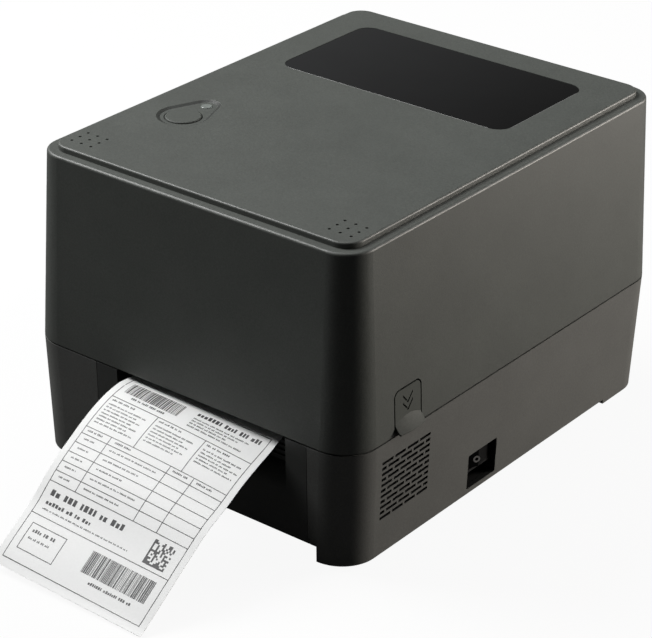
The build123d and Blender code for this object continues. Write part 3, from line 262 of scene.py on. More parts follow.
def noise(tree, size_m, detail=2.0):
    """Noise whose blobs are about size_m across."""
    cloud = tree.nodes.new("ShaderNodeTexNoise")
    cloud.inputs["Scale"].default_value = 1.0 / size_m
    cloud.inputs["Detail"].default_value = detail
    tree.links.new(object_place(tree), cloud.inputs["Vector"])
    return cloud.outputs[0]


noise_low, noise_high = 0.3, 0.7


def between(tree, value, low, high):
    """Maps a noise, which mostly lies from noise_low to noise_high, to low to high."""
    ramp = tree.nodes.new("ShaderNodeMapRange")
    ramp.inputs["From Min"].default_value = noise_low
    ramp.inputs["From Max"].default_value = noise_high
    ramp.inputs["To Min"].default_value = low
    ramp.inputs["To Max"].default_value = high
    tree.links.new(value, ramp.inputs["Value"])
    return ramp.outputs[0]


def blend_colours(tree, value, dark, light):
    """Mixes two colours by a number from 0 to 1."""
    mix = tree.nodes.new("ShaderNodeMix")
    mix.data_type = "RGBA"
    mix.inputs["A"].default_value = (*dark, 1.0)
    mix.inputs["B"].default_value = (*light, 1.0)
    tree.links.new(value, mix.inputs["Factor"])
    return mix.outputs["Result"]


def bump_from(tree, height, depth_m):
    bump = tree.nodes.new("ShaderNodeBump")
    bump.inputs["Strength"].default_value = 1.0
    bump.inputs["Distance"].default_value = depth_m
    tree.links.new(height, bump.inputs["Height"])
    return bump.outputs[0]


print("noise, colour and bump helpers are ready")

# %% [markdown]
# ## Specks and painted shade
# The grain of the case sparkles a little, because each bump catches the light in its own way, so
# its colour is made lighter and darker in specks. Three places get painted shade. The grille's
# slots and the recess of the power switch are too narrow for light to get in, so their colour is
# painted black, and the wall of the button's dish is turned away from it, so its colour is painted
# darker. They could be separate meshes, but a box in object coordinates picks each of them and
# leaves the CAD mesh whole. One box leans, because the wall that it follows leans too.


# %% Specks and boxes
def speckled(tree, colour, size_m, share):
    """The colour, made lighter and darker by share in specks of size_m."""
    mix = tree.nodes.new("ShaderNodeMix")
    mix.data_type = "RGBA"
    mix.blend_type = "MULTIPLY"
    mix.inputs["Factor"].default_value = 1.0
    tree.links.new(colour, mix.inputs["A"])
    tree.links.new(between(tree, noise(tree, size_m), 1 - share, 1 + share), mix.inputs["B"])
    return mix.outputs["Result"]


def inside_box(tree, low, high, lean=0.0, amount=1.0):
    """The amount inside the box, else 0; the box's sides lean by lean along x per metre of z."""
    x, y, z = place_xyz(tree)
    upright_x = sum_node(tree, "MULTIPLY_ADD", z, -lean, x)
    result = amount
    for place, a, b in zip((upright_x, y, z), low, high):
        within = sum_node(tree, "COMPARE", place, (a + b) / 2, (b - a) / 2)
        result = sum_node(tree, "MULTIPLY", result, within)
    return result


print("speck and box helpers are ready")

# %% [markdown]
# ## Moulded plastic
# The case is one dark grey plastic with the fine spark-eroded grain that mould makers give
# office machines. All the printer's plastics are made in this way, with their own colour, gloss
# and grain, so one function serves them all. The gloss varies with a fine noise of its own,
# which breaks up the highlights along the rounded edges.

# %% Plastic
# Painted shade: the black that the dark boxes mix the plastic's colour towards.
painted_shade_black = (0.003, 0.003, 0.003, 1.0)
mottle_m = 0.03
speck_per_grain, gloss_per_grain = 1.5, 1.7
gloss_spread = 0.05


def moulded_plastic(name, colour, roughness, grain_m=0.0006, grain_depth=0.00005, spread=0.06,
                    specular=0.5, speck=0.07, painted_shade_boxes=()):
    """Grained plastic; the last argument holds boxes of painted shade in the form inside_box takes."""
    material, tree, shader = new_material(name)
    dark = tuple(c * (1 - spread) for c in colour)
    light = tuple(c * (1 + spread) for c in colour)
    mottle = between(tree, noise(tree, mottle_m, 3.0), 0.0, 1.0)
    shade = blend_colours(tree, mottle, dark, light)
    shade = speckled(tree, shade, grain_m * speck_per_grain, speck)
    # Painted shade: inside each box the colour is mixed towards black by the box's amount.
    for painted_area in painted_shade_boxes:
        mix = tree.nodes.new("ShaderNodeMix")
        mix.data_type = "RGBA"
        mix.inputs["B"].default_value = painted_shade_black
        tree.links.new(inside_box(tree, *painted_area), mix.inputs["Factor"])
        tree.links.new(shade, mix.inputs["A"])
        shade = mix.outputs["Result"]
    tree.links.new(shade, shader.inputs["Base Color"])
    gloss = between(tree, noise(tree, grain_m * gloss_per_grain),
                    roughness - gloss_spread, roughness + gloss_spread)
    tree.links.new(gloss, shader.inputs["Roughness"])
    shader.inputs["Specular IOR Level"].default_value = specular
    tree.links.new(bump_from(tree, noise(tree, grain_m), grain_depth), shader.inputs["Normal"])
    return material


print("plastic helper is ready")

# %% [markdown]
# ## Where shade is painted on the case
# Each box is two corners in metres. The dish's box and the grille's middle are worked out from
# the frame, so they stay with their pieces, and the other numbers follow the side wall. The
# grille's box starts a little below the wall's outer face: its slots are painted black as shade and
# the wall itself is not. The switch recess is painted black as shade too. The dish's box is a thin
# layer between the flat top and the floor of the dish, so it holds only the sloping wall, and there
# the painted shade is only darker, not black.

# %% Dark places
button_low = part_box("feed_button")[0]
lens_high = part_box("status_lens")[1]
base_low, base_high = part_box("base_shell")
top_z = cad_box[1][2]
dish_margin = 0.009
# Painted shade on the dish's sloping wall, mixed 0.6 of the way to black.
dish_wall_painted_shade = ((button_low[0] - dish_margin, button_low[1] - dish_margin, top_z - 0.00092),
             (lens_high[0] + dish_margin, lens_high[1] + dish_margin, top_z - 0.00012), 0.0, 0.6)
# Painted shade: the recess of the power switch is painted black.
switch_recess_painted_shade = ((0.095, 0.0140, 0.0052), (0.1126, 0.0428, 0.0285))
grille_middle = base_low[1] + 0.0490
grille_half = 0.0225
wall_lean = 0.0324
# Painted shade: the grille's slots are painted black.
grille_slots_painted_shade = ((0.1088, grille_middle - grille_half, 0.0240),
                (0.1124, grille_middle + grille_half, 0.0630), wall_lean)
print("grille's middle at y =", round(grille_middle, 4), "m")

# %% [markdown]
# ## Plastics of the outside
# The base is a lighter grey than the cover and a little less glossy. The
# front panel is darker, the latch tabs are duller, as a coarser texture gives fingers a grip, and
# the rocker, the sockets and the feet are black. Each is one call of the same function, because
# only the numbers differ from plastic to plastic.

# %% Case plastics
case_colour = (0.077, 0.083, 0.076)
# The cover's plastic carries the painted shade on the dish wall.
case_grey = moulded_plastic("case_grey", case_colour, 0.45, specular=0.45, speck=0.12,
                            painted_shade_boxes=(dish_wall_painted_shade,))
# The base's plastic carries the painted shade in the switch recess and the grille's slots.
base_grey = moulded_plastic("base_grey", (0.108, 0.110, 0.104), 0.53, speck=0.12,
                            painted_shade_boxes=(switch_recess_painted_shade, grille_slots_painted_shade))
tab_grey = moulded_plastic("tab_grey", case_colour, 0.62, specular=0.15)
panel_grey = moulded_plastic("panel_grey", (0.056, 0.058, 0.055), 0.50, specular=0.4)
key_grey = moulded_plastic("key_grey", case_colour, 0.52, grain_depth=0.00002, specular=0.25)
socket_black = moulded_plastic("socket_black", (0.012, 0.012, 0.012), 0.45, specular=0.3)
rocker_black = moulded_plastic("rocker_black", (0.006, 0.006, 0.006), 0.40, grain_depth=0.00001,
                               specular=0.12)
foot_black = moulded_plastic("foot_black", (0.020, 0.020, 0.020), 0.80)
print("case colour:", case_colour)

# %% [markdown]
# ## Plastics of the inside
# Inside, colour is a sign: the parts that a user may move, such as the roll holders, are blue.
# The gears are a waxy white plastic that runs quietly without grease. They could share the grey
# of the tray, but an open printer is easier to read when each kind of part has its own colour.

# %% Inner plastics
inner_grey = moulded_plastic("inner_grey", (0.050, 0.050, 0.050), 0.50)
holder_blue = moulded_plastic("holder_blue", (0.020, 0.060, 0.200), 0.42)
gear_white = moulded_plastic("gear_white", (0.62, 0.60, 0.53), 0.45, grain_depth=0.00001)
print("inner plastics:", [m.name for m in (inner_grey, holder_blue, gear_white)])

# %% [markdown]
# ## Metals
# Most of the mechanism shows only with the cover open, but it gets the same care. Rolled steel
# sheet has long faint streaks, so its noise is stretched along one axis: a large scale across
# the streaks and a small one along them. Ground shafts are smoother and brighter.

# %% Metals
streak_shade, streak_gloss, streak_depth = 0.86, 0.07, 0.00002


def streaked_metal(name, colour, roughness, stretch=(1.0, 30.0, 30.0), size_m=0.004):
    material, tree, shader = new_material(name)
    scale = tree.nodes.new("ShaderNodeMapping")
    scale.inputs["Scale"].default_value = stretch
    tree.links.new(object_place(tree), scale.inputs["Vector"])
    cloud = tree.nodes.new("ShaderNodeTexNoise")
    cloud.inputs["Scale"].default_value = 1.0 / size_m / max(stretch)
    cloud.inputs["Detail"].default_value = 4.0
    tree.links.new(scale.outputs[0], cloud.inputs["Vector"])
    streak = between(tree, cloud.outputs[0], 0.0, 1.0)
    dark = tuple(c * streak_shade for c in colour)
    tree.links.new(blend_colours(tree, streak, dark, colour), shader.inputs["Base Color"])
    shader.inputs["Metallic"].default_value = 1.0
    gloss = between(tree, cloud.outputs[0], roughness - streak_gloss, roughness + streak_gloss)
    tree.links.new(gloss, shader.inputs["Roughness"])
    tree.links.new(bump_from(tree, cloud.outputs[0], streak_depth), shader.inputs["Normal"])
    return material


sheet_steel = streaked_metal("sheet_steel", (0.33, 0.34, 0.34), 0.50)
ground_steel = streaked_metal("ground_steel", (0.40, 0.40, 0.40), 0.36, (30.0, 1.0, 1.0))
screw_steel = streaked_metal("screw_steel", (0.36, 0.36, 0.37), 0.42)
fin_aluminium = streaked_metal("fin_aluminium", (0.55, 0.56, 0.57), 0.45, (1.0, 20.0, 1.0))
socket_tin = streaked_metal("socket_tin", (0.38, 0.38, 0.37), 0.45)
print("metals made")

# %% [markdown]
# ## Rubber, film, ceramic and card
# The rubber of the roller is dull and slightly dusty, and the wound ribbon is a glossy film. The
# strip that prints is glazed ceramic, and the core of the roll is raw brown card. All of them are
# grained solids, so the plastic's function makes them too, with other numbers.

# %% Rubber, film, ceramic and card
roller_rubber = moulded_plastic("roller_rubber", (0.030, 0.030, 0.032), 0.70, 0.0004, 0.00002)
motor_black = moulded_plastic("motor_black", (0.018, 0.018, 0.019), 0.40, 0.0008, 0.00002)
ribbon_black = moulded_plastic("ribbon_black", (0.010, 0.010, 0.012), 0.18, 0.0006, 0.000004)
head_ceramic = moulded_plastic("head_ceramic", (0.58, 0.55, 0.47), 0.15, 0.0008, 0.000004)
core_brown = moulded_plastic("core_brown", (0.32, 0.22, 0.13), 0.85, 0.0009, 0.00004, 0.2)
print("soft finishes made")

# %% [markdown]
# ## Circuit board
# A board is glass fibre under green lacquer, with copper tracks that show faintly as lighter
# lines. Real tracks would be a drawing of their own. At the size at which a board is seen here,
# a brick pattern with thin joints gives the same broken lines.


# %% Circuit board
def lacquered_board():
    """Green lacquer with faint copper tracks under it."""
    material, tree, shader = new_material("board_green")
    tracks = tree.nodes.new("ShaderNodeTexBrick")
    tracks.inputs["Scale"].default_value = 160.0
    tracks.inputs["Color1"].default_value = (0.010, 0.085, 0.030, 1.0)
    tracks.inputs["Color2"].default_value = (0.012, 0.110, 0.040, 1.0)
    tracks.inputs["Mortar"].default_value = (0.030, 0.180, 0.070, 1.0)
    tracks.inputs["Mortar Size"].default_value = 0.04
    tree.links.new(object_place(tree), tracks.inputs["Vector"])
    tree.links.new(tracks.outputs["Color"], shader.inputs["Base Color"])
    shader.inputs["Roughness"].default_value = 0.28
    tree.links.new(bump_from(tree, noise(tree, 0.002), 0.00003), shader.inputs["Normal"])
    return material


board_green = lacquered_board()
print("board made")

# %% [markdown]
# ## Smoked window and light lens
# The window is a dark, smooth plastic pane, flush with the plateau. Seen from outside it is
# nearly black with a soft sheen. Its left end is painted a shade lighter, as painted light for the
# lit inside that shows through there. Real smoked plastic lets light through, but a nearly black
# surface looks the same here and needs far fewer samples to come out clean. A little unevenness in
# its gloss keeps it from looking computed. The light lens is milky and slightly green, unlit.


# %% Window and lens
def smoked_pane(left_x, right_x):
    """Painted light: the pane is lighter at the left, for the lit inside seen through it."""
    material, tree, shader = new_material("window_smoke")
    across = tree.nodes.new("ShaderNodeMapRange")
    across.inputs["From Min"].default_value = left_x
    across.inputs["From Max"].default_value = right_x
    tree.links.new(place_xyz(tree)[0], across.inputs["Value"])
    # Painted light: the lighter colour at the left stands in for the lit inside seen through the pane.
    painted_inside_light, smoke_black = (0.018, 0.0185, 0.019), (0.002, 0.002, 0.002)
    tree.links.new(blend_colours(tree, across.outputs[0], painted_inside_light, smoke_black),
                   shader.inputs["Base Color"])
    tree.links.new(between(tree, noise(tree, 0.02, 3.0), 0.16, 0.24), shader.inputs["Roughness"])
    tree.links.new(bump_from(tree, noise(tree, 0.04, 1.0), 0.00002), shader.inputs["Normal"])
    return material


def milky_lens():
    material, tree, shader = new_material("lens_milk")
    tint = between(tree, noise(tree, 0.002), 0.0, 1.0)
    tree.links.new(blend_colours(tree, tint, (0.16, 0.175, 0.165), (0.22, 0.24, 0.225)),
                   shader.inputs["Base Color"])
    shader.inputs["Roughness"].default_value = 0.12
    return material


pane_low, pane_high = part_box("window")
window_smoke = smoked_pane(pane_low[0], pane_high[0])
lens_milk = milky_lens()
print("window and lens made")

# %% [markdown]
# ## Paper
# Label stock is coated paper: off-white, dull, with a very fine felt-like fibre. Fine noise
# under a faint bump gives that. The web inside and the roll are a little greyer than the fed
# label, because bare white would clip in the light of the open cover.


# %% Label paper
def label_paper(name, dark, light):
    material, tree, shader = new_material(name)
    fibre = between(tree, noise(tree, 0.0012, 4.0), 0.0, 1.0)
    tree.links.new(blend_colours(tree, fibre, dark, light), shader.inputs["Base Color"])
    shader.inputs["Roughness"].default_value = 0.60
    shader.inputs["Specular IOR Level"].default_value = 0.3
    tree.links.new(bump_from(tree, noise(tree, 0.0008, 3.0), 0.00001), shader.inputs["Normal"])
    return material


paper_white = label_paper("label_paper", (0.91, 0.915, 0.91), (0.94, 0.945, 0.94))
web_paper = label_paper("web_paper", (0.73, 0.735, 0.72), (0.77, 0.775, 0.76))
print("papers:", paper_white.name, web_paper.name)

# %% [markdown]
# ## The wound roll
# On its end faces a roll shows its many turns as thin rings. Modelling each turn would take
# hundreds of tubes. Here the distance from the roll's axis drives a noise with one dimension,
# so that every ring gets its own shade.


# %% Roll paper
def wound_paper(name, axis_y, axis_z, pitch_m, dark, light):
    """Rings round an axis along X, for the end faces of a roll."""
    material, tree, shader = new_material(name)
    across_y = sum_node(tree, "SUBTRACT", place_xyz(tree)[1], axis_y)
    across_z = sum_node(tree, "SUBTRACT", place_xyz(tree)[2], axis_z)
    total = sum_node(tree, "ADD", sum_node(tree, "MULTIPLY", across_y, across_y),
                     sum_node(tree, "MULTIPLY", across_z, across_z))
    rings = sum_node(tree, "MULTIPLY", sum_node(tree, "SQRT", total), 1.0 / pitch_m)
    cloud = tree.nodes.new("ShaderNodeTexNoise")
    cloud.noise_dimensions = "1D"
    cloud.inputs["Scale"].default_value = 1.0
    tree.links.new(rings, cloud.inputs["W"])
    shade = between(tree, cloud.outputs[0], 0.0, 1.0)
    tree.links.new(blend_colours(tree, shade, dark, light), shader.inputs["Base Color"])
    shader.inputs["Roughness"].default_value = 0.65
    return material


roll_low, roll_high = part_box("label_roll")
roll_axis = ((roll_low[1] + roll_high[1]) / 2, (roll_low[2] + roll_high[2]) / 2)
turn_pitch = 0.0006
roll_paper = wound_paper("roll_paper", *roll_axis, turn_pitch, (0.56, 0.54, 0.50), (0.74, 0.74, 0.72))
print("roll axis y, z in metres:", [round(v, 4) for v in roll_axis])

# %% [markdown]
# ## Dress the CAD nodes
# A CAD node keeps its mesh; only its material slot is filled. The table names, for each finish,
# the nodes that wear it. A table is easier to check than sixty separate lines, and the print
# at the end tells whether any node was forgotten.

# %% Finish of each node
finishes = {
    case_grey: ["cover_shell"],
    tab_grey: ["latch_tab_right", "latch_tab_left"],
    base_grey: ["base_shell", "floor_plate"],
    panel_grey: ["front_panel"],
    key_grey: ["feed_button"],
    window_smoke: ["window"],
    lens_milk: ["status_lens"],
    foot_black: ["rubber_feet"],
    rocker_black: ["power_rocker"],
    socket_black: ["power_switch", "power_inlet", "label_sensor"],
    socket_tin: ["usb_port", "serial_port"],
    inner_grey: ["media_tray", "latch_hook_right", "latch_hook_left", "supply_spindle", "take_up_spindle"],
    holder_blue: ["media_guide_left", "media_guide_right"],
    gear_white: ["platen_gear", "idler_gear", "motor_pinion", "guide_pinion", "take_up_gear",
                 "ribbon_idler", "platen_bushes"],
    sheet_steel: ["lower_frame", "tear_bar", "hinge_brackets", "ribbon_carriage", "head_bracket"],
    ground_steel: ["platen_shaft", "idler_stud", "motor_shaft", "frame_rods", "latch_strikers",
                   "hinge_pins", "ribbon_idler_stud", "head_pivot_pin", "head_springs",
                   "latch_spring_right", "latch_spring_left"],
    screw_steel: ["base_screws", "cover_screws"],
    fin_aluminium: ["heat_sink"],
    head_ceramic: ["thermal_head"],
    roller_rubber: ["platen_roller"],
    motor_black: ["stepper_motor"],
    board_green: ["main_board", "button_board"],
    ribbon_black: ["supply_ribbon", "take_up_ribbon"],
    core_brown: ["roll_core"],
    roll_paper: ["label_roll"],
    paper_white: ["label_strip"],
}
dressed = set()
for finish, names in finishes.items():
    for name in names:
        mesh = nodes[name].data
        mesh.materials.clear()
        mesh.materials.append(finish)
        dressed.add(name)
print("dressed", len(dressed), "of", len(nodes), "missing:", sorted(set(nodes) - dressed))

# %% [markdown]
# ## The fed label's two edges
# A strip fresh from a roll remembers its curl and twists a little, so its left edge stands
# higher than its right one. Cloth simulation could bend it, but paper this stiff bends one way
# only, and two drawn edges say exactly where it goes. They are given as (y, z) stations in
# millimetres, counted from the middle of the case, and joined by a smooth spline.

# %% Edges of the label
case_half_depth = 149.0
shift_y = base_high[1] * 1000 - case_half_depth
label_left, label_right = -41.2, 63.8
left_edge = [(-139.0, 68.7), (-144.0, 68.75), (-150.0, 69.05), (-155.6, 69.1), (-165.8, 66.9),
             (-176.1, 62.8), (-186.3, 57.4), (-194.9, 52.0), (-203.4, 46.6), (-211.0, 40.9),
             (-218.7, 34.2), (-225.5, 27.9), (-233.9, 22.0), (-242.2, 16.4), (-250.5, 10.3),
             (-257.0, 4.8)]
right_edge = [(-139.0, 68.7), (-144.0, 66.9), (-151.1, 63.2), (-166.7, 56.8), (-177.1, 51.9),
              (-188.2, 45.7), (-203.4, 38.3), (-217.7, 28.6), (-229.4, 20.3), (-239.4, 13.2),
              (-250.9, 4.8), (-254.9, 2.4), (-257.2, 1.4)]


def travel(points):
    """Length along a polyline at each of its points."""
    total = [0.0]
    for a, b in zip(points, points[1:]):
        total.append(total[-1] + math.dist(a, b))
    return total


def spline_point(points, share):
    """Catmull-Rom point at a share of the polyline's length."""
    lengths = travel(points)
    target = share * lengths[-1]
    i = max(k for k in range(len(points) - 1) if lengths[k] <= target or k == 0)
    t = (target - lengths[i]) / (lengths[i + 1] - lengths[i])
    p0, p1 = points[max(i - 1, 0)], points[i]
    p2, p3 = points[i + 1], points[min(i + 2, len(points) - 1)]
    return tuple(0.5 * (2 * b + (c - a) * t + (2 * a - 5 * b + 4 * c - d) * t ** 2
                        + (3 * b - a - 3 * c + d) * t ** 3)
                 for a, b, c, d in zip(p0, p1, p2, p3))


print("edge lengths in mm:", round(travel(left_edge)[-1], 1), round(travel(right_edge)[-1], 1))

# %% [markdown]
# ## The label's surface
# The sheet is the ruled surface between the two edges: straight across, curved along. A slight
# crown across its width keeps it from looking like folded tin. It is nil at the exit, highest at
# a third of the way and gone at two thirds. The print has to lie on this surface too, so it is a
# function of two shares, across and along, and not only a mesh.

# %% Points on the label
crown_rise = 1.2
crown_reach = 2 / 3
side_step, ahead_step = 0.02, 0.01


def label_point(across, along):
    """Point in metres: across 0 (left) to 1 (right), along 0 (exit) to 1 (free end)."""
    ly, lz = spline_point(left_edge, along)
    ry, rz = spline_point(right_edge, along)
    bulge = math.sin(math.pi * min(along / crown_reach, 1.0))
    crown = crown_rise * bulge * math.sin(math.pi * across)
    x = label_left + (label_right - label_left) * across
    y = ly + (ry - ly) * across
    z = lz + (rz - lz) * across + crown
    return Vector((x, y + shift_y, z)) / 1000.0


def lifted_point(across, along, lift_m):
    """Point at lift_m above the paper's mid surface."""
    here = label_point(across, along)
    side = (label_point(min(across + side_step, 1.0), along)
            - label_point(max(across - side_step, 0.0), along))
    ahead = (label_point(across, min(along + ahead_step, 1.0))
             - label_point(across, max(along - ahead_step, 0.0)))
    normal = ahead.cross(side).normalized()
    if normal.z < 0:
        normal = -normal
    return here + normal * lift_m


print("free end's middle in metres:", [round(v, 4) for v in label_point(0.5, 1.0)])

# %% [markdown]
# ## The label's sheet
# The sheet has an upper and a lower layer and a rim of narrow faces that joins them, so it is a
# closed solid as thick as real stock. Its two faces are shaded smooth, and the edges of the rim
# are marked sharp. Without those marks the shading would bend over the rim, and the flat sheet
# would look like a pillow.

# %% Label sheet
half_paper = 0.00012
rows, columns = 60, 16


def rim_faces(layer):
    """Narrow faces along the sheet's four sides; layer is the number of points in one layer."""
    faces = []
    for r in range(rows):
        for c in (0, columns):
            a = r * (columns + 1) + c
            d = a + columns + 1
            faces.append((a, a + layer, d + layer, d) if c == 0 else (a, d, d + layer, a + layer))
    for c in range(columns):
        for r in (0, rows):
            a = r * (columns + 1) + c
            faces.append((a, a + 1, a + 1 + layer, a + layer) if r == 0
                         else (a, a + layer, a + 1 + layer, a + 1))
    return faces


vertices, faces = [], []
for level in (half_paper, -half_paper):
    for r in range(rows + 1):
        for c in range(columns + 1):
            vertices.append(lifted_point(c / columns, r / rows, level))
layer = (rows + 1) * (columns + 1)
for r in range(rows):
    for c in range(columns):
        a = r * (columns + 1) + c
        b, d, e = a + 1, a + columns + 1, a + columns + 2
        faces.append((a, d, e, b))
        faces.append((a + layer, b + layer, e + layer, d + layer))
faces += rim_faces(layer)
fed_mesh = bpy.data.meshes.new("fed_label")
fed_mesh.from_pydata(vertices, [], faces)
fed_mesh.update()
rim_keys = set()
for polygon in fed_mesh.polygons:
    polygon.use_smooth = polygon.index < 2 * rows * columns
    if not polygon.use_smooth:
        rim_keys.update(polygon.edge_keys)
for edge in fed_mesh.edges:
    edge.use_edge_sharp = edge.key in rim_keys
fed_label = bpy.data.objects.new("fed_label", fed_mesh)
bpy.context.scene.collection.objects.link(fed_label)
fed_mesh.materials.append(paper_white)
print("label sheet:", len(faces), "faces")

# %% [markdown]
# ## The web behind the exit
# Behind the exit the paper goes back over the roller to the roll. The CAD model has that stretch
# already, as the rear part of its straight strip, so its faces are copied from there and only
# the part in front of the exit is made anew.


# %% Web from the roll to the exit
def inner_web(name):
    """A copy of the CAD strip's faces behind the exit."""
    source = nodes["label_strip"].data
    exit_y = (left_edge[0][0] + shift_y) / 1000.0
    points = [v.co.copy() for v in source.vertices]
    keep = [p for p in source.polygons if all(points[i].y > exit_y - 1e-5 for i in p.vertices)]
    used = sorted({i for p in keep for i in p.vertices})
    index = {old: new for new, old in enumerate(used)}
    mesh = bpy.data.meshes.new(name)
    mesh.from_pydata([points[i] for i in used], [], [[index[i] for i in p.vertices] for p in keep])
    mesh.materials.append(web_paper)
    web = bpy.data.objects.new(name, mesh)
    bpy.context.scene.collection.objects.link(web)
    return web


label_web = inner_web("label_web")
print("web faces:", len(label_web.data.polygons))

# %% [markdown]
# ## Marks of the print
# A thermal printer draws everything as small dark rectangles, and so does this cell. A mark is
# written as (x0, x1, y0, y1) in millimetres, with x from the label's left edge and y towards its
# free end. Four helpers make the marks that any shipping form has: a ruled box, a bar pattern, a
# row of words and a square of cells. Words are rows of tiny bars, so that nothing can be read,
# and each row has a seed of its own, so that it comes out the same each time.

# %% Marks
rule = 0.45
letter_gap, word_gap = 0.28, 0.7
dark_share = 0.45


def frame_box(x0, x1, y0, y1):
    """Four thin rules round a box."""
    return [(x0, x1, y0, y0 + rule), (x0, x1, y1 - rule, y1),
            (x0, x0 + rule, y0, y1), (x1 - rule, x1, y0, y1)]


def bar_pattern(x0, x1, y0, y1, seed):
    """A seeded row of thin and thick upright bars."""
    dice = random.Random(seed)
    marks = []
    x = x0
    while x < x1 - 0.8:
        wide = dice.choice((0.3, 0.3, 0.6, 0.9))
        marks.append((x, x + wide, y0, y1))
        x += wide + dice.choice((0.3, 0.3, 0.6))
    return marks


def word_row(x0, x1, y, tall, seed):
    """A row of short bars where words would be, with small breaks as between letters."""
    dice = random.Random(seed)
    marks = []
    x = x0
    while x < x1 - tall * word_gap:
        for _ in range(dice.choice((2, 3, 4, 6, 7))):
            wide = tall * dice.choice((0.45, 0.6, 0.75))
            if x + wide < x1:
                low = y + tall * dice.choice((0.0, 0.0, 0.25))
                marks.append((x, x + wide, low, y + tall))
            x += wide + tall * letter_gap
        x += tall * word_gap
    return marks


def cell_pattern(x0, y0, cell, count, seed):
    """A square field of dark and light cells with a solid first column and last row."""
    dice = random.Random(seed)
    return [(x0 + i * cell, x0 + (i + 1) * cell, y0 + j * cell, y0 + (j + 1) * cell)
            for i in range(count) for j in range(count)
            if i == 0 or j == count - 1 or dice.random() < dark_share]


print("a sample row of words has", len(word_row(0, 30, 0, 1.0, 1)), "marks")

# %% [markdown]
# ## Layout of the print
# The layout is an invented shipping form, from the exit to the free end: a bar pattern beside an
# address, three columns of small words, a table of five rows, a large heading with a square of
# cells, and a second bar pattern. It is written part by part, as a form is set.

# %% Layout of the label
form_left, form_right = 4, 101


def across_rule(y):
    return [(form_left, form_right, y, y + rule)]


def form_head():
    """Bar pattern, address and three columns of small words."""
    marks = bar_pattern(8, 46, 8.5, 18, 3)
    marks += word_row(15, 39, 19.2, 1.3, 4)
    marks += word_row(54, 97, 8.5, 2.6, 5)
    for k in range(4):
        marks += word_row(54, 92 - 6 * (k % 3), 13.4 + 2.0 * k, 0.9, 6 + k)
    marks += across_rule(23) + [(x, x + rule, 23, 46) for x in (37, 70)]
    for column in range(3):
        left = 6.5 + 33 * column
        marks += word_row(left, left + 16, 24.8, 1.2, 20 + column)
        for k in range(7 - column):
            marks += word_row(left, left + 26 - 5 * (k % 2), 28.2 + 2.2 * k, 0.9, 30 + 8 * column + k)
    return marks


def form_table():
    """A heading row and five ruled rows with two columns of words."""
    marks = across_rule(46)
    for x, seed in ((7, 60), (26, 61), (66, 62), (82, 63)):
        marks += word_row(x, x + 11, 47.6, 1.1, seed)
    for k in range(5):
        y = 50.5 + 6.2 * k
        marks += across_rule(y)
        marks += word_row(26, 58 - 7 * (k % 3), y + 2.4, 0.9, 70 + k)
        marks += word_row(8, 16, y + 2.4, 0.9, 80 + k)
    return marks + [(x, x + rule, 46, 81.5) for x in (22, 63, 79)]


def form_foot():
    """Heading, square of cells, second bar pattern and a small box."""
    marks = across_rule(81.5) + cell_pattern(81, 84.5, 1.1, 13, 90)
    marks += word_row(9, 62, 85.5, 3.4, 91)
    marks += word_row(9, 44, 92, 2.2, 92)
    marks += word_row(9, 70, 96.6, 0.9, 93)
    marks += across_rule(101) + bar_pattern(52, 97, 105, 118, 94)
    marks += word_row(60, 90, 120.5, 1.5, 95)
    marks += frame_box(9, 34, 106, 122)
    marks += word_row(12, 31, 109, 2.0, 96)
    return marks + word_row(12, 27, 114, 1.2, 97)


form_marks = frame_box(form_left, form_right, 5, 129) + form_head() + form_table() + form_foot()
print("marks:", len(form_marks))

# %% [markdown]
# ## Ink on the paper
# The ink is a sheet of small faces a few hundredths of a millimetre above the paper. An image
# would be the usual way, but faces stay sharp at any distance and are part of the mesh.
# Each mark is cut into short pieces, so that it follows the curl and never dips into the sheet.
# The form starts a few millimetres beyond the exit.

# %% Ink sheet
printed_length = (travel(left_edge)[-1] + travel(right_edge)[-1]) / 2
label_width = label_right - label_left
form_start = 3.0
ink_lift = 0.00004
piece_along, piece_across = 3.0, 7.0


def ink_mesh(name, marks):
    vertices, faces = [], []
    for x0, x1, y0, y1 in marks:
        steps_y = max(1, math.ceil((y1 - y0) / piece_along))
        steps_x = max(1, math.ceil((x1 - x0) / piece_across))
        start = len(vertices)
        for i in range(steps_y + 1):
            along = (form_start + y0 + (y1 - y0) * i / steps_y) / printed_length
            for j in range(steps_x + 1):
                across = (x0 + (x1 - x0) * j / steps_x) / label_width
                vertices.append(lifted_point(across, min(along, 1.0), half_paper + ink_lift))
        for i in range(steps_y):
            for j in range(steps_x):
                a = start + i * (steps_x + 1) + j
                faces.append((a, a + steps_x + 1, a + steps_x + 2, a + 1))
    mesh = bpy.data.meshes.new(name)
    mesh.from_pydata(vertices, [], faces)
    mesh.update()
    return mesh


def thermal_ink():
    material, tree, shader = new_material("thermal_ink")
    fade = between(tree, noise(tree, 0.0015, 3.0), 0.0, 1.0)
    tree.links.new(blend_colours(tree, fade, (0.018, 0.018, 0.020), (0.040, 0.040, 0.043)),
                   shader.inputs["Base Color"])
    shader.inputs["Roughness"].default_value = 0.5
    return material


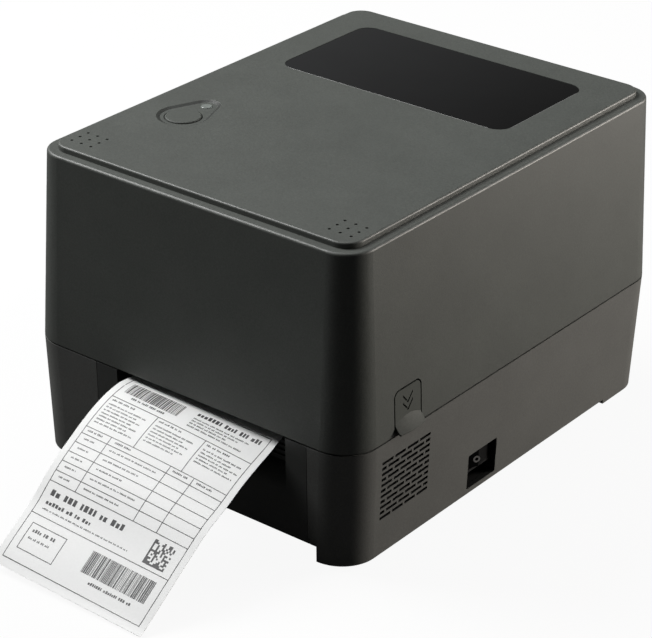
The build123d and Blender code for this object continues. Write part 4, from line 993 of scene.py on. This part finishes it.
label_print = bpy.data.objects.new("label_print", ink_mesh("label_print", form_marks))
bpy.context.scene.collection.objects.link(label_print)
label_print.data.materials.append(thermal_ink())
print("ink faces:", len(label_print.data.polygons))

# %% [markdown]
# ## The label belongs to the base
# The printer opens, and every new piece has to know which body carries it. The fed label takes
# the place of the CAD strip, and sheet, web and print all ride on the base.

# %% Label rides with the base
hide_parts("label_strip")
for piece in (fed_label, label_web, label_print):
    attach(piece, "base")
print("label pieces ride on the base")

# %% [markdown]
# ## The switch's off mark
# A pale ring is pad-printed on the pressed half of the power rocker. It lies on the rocker's
# sloping face, so it is drawn in that face's own directions, a hair above the plastic, and it
# rides on the rocker. It could be cut into the rocker as a groove, but real ones are printed.

# %% Printed ring
ring_centre = Vector((111.13, 26.26, 19.9)) / 1000.0
ring_inner, ring_outer = 0.00105, 0.0021
ring_lift = 0.00003
rocker_slope = math.radians(31.0)
face_normal = Vector((math.cos(rocker_slope), -math.sin(rocker_slope), 0.0))
face_along = Vector((math.sin(rocker_slope), math.cos(rocker_slope), 0.0))
upright = Vector((0.0, 0.0, 1.0))


def ring_mesh(name, steps=48):
    vertices, faces = [], []
    for k in range(steps):
        turn = 2 * math.pi * k / steps
        spoke = face_along * math.cos(turn) + upright * math.sin(turn)
        for radius in (ring_inner, ring_outer):
            vertices.append(ring_centre + face_normal * ring_lift + spoke * radius)
    for k in range(steps):
        a, b = 2 * k, (2 * k + 2) % (2 * steps)
        faces.append((a, a + 1, b + 1, b))
    mesh = bpy.data.meshes.new(name)
    mesh.from_pydata(vertices, [], faces)
    return mesh


def pad_ink():
    material, tree, shader = new_material("pad_ink")
    wear = between(tree, noise(tree, 0.0006, 3.0), 0.0, 1.0)
    tree.links.new(blend_colours(tree, wear, (0.50, 0.50, 0.50), (0.60, 0.60, 0.60)),
                   shader.inputs["Base Color"])
    shader.inputs["Roughness"].default_value = 0.5
    return material


off_mark = bpy.data.objects.new("off_mark", ring_mesh("off_mark"))
bpy.context.scene.collection.objects.link(off_mark)
off_mark.data.materials.append(pad_ink())
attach(off_mark, "rocker")
print("ring of", len(off_mark.data.polygons), "faces rides on the rocker")
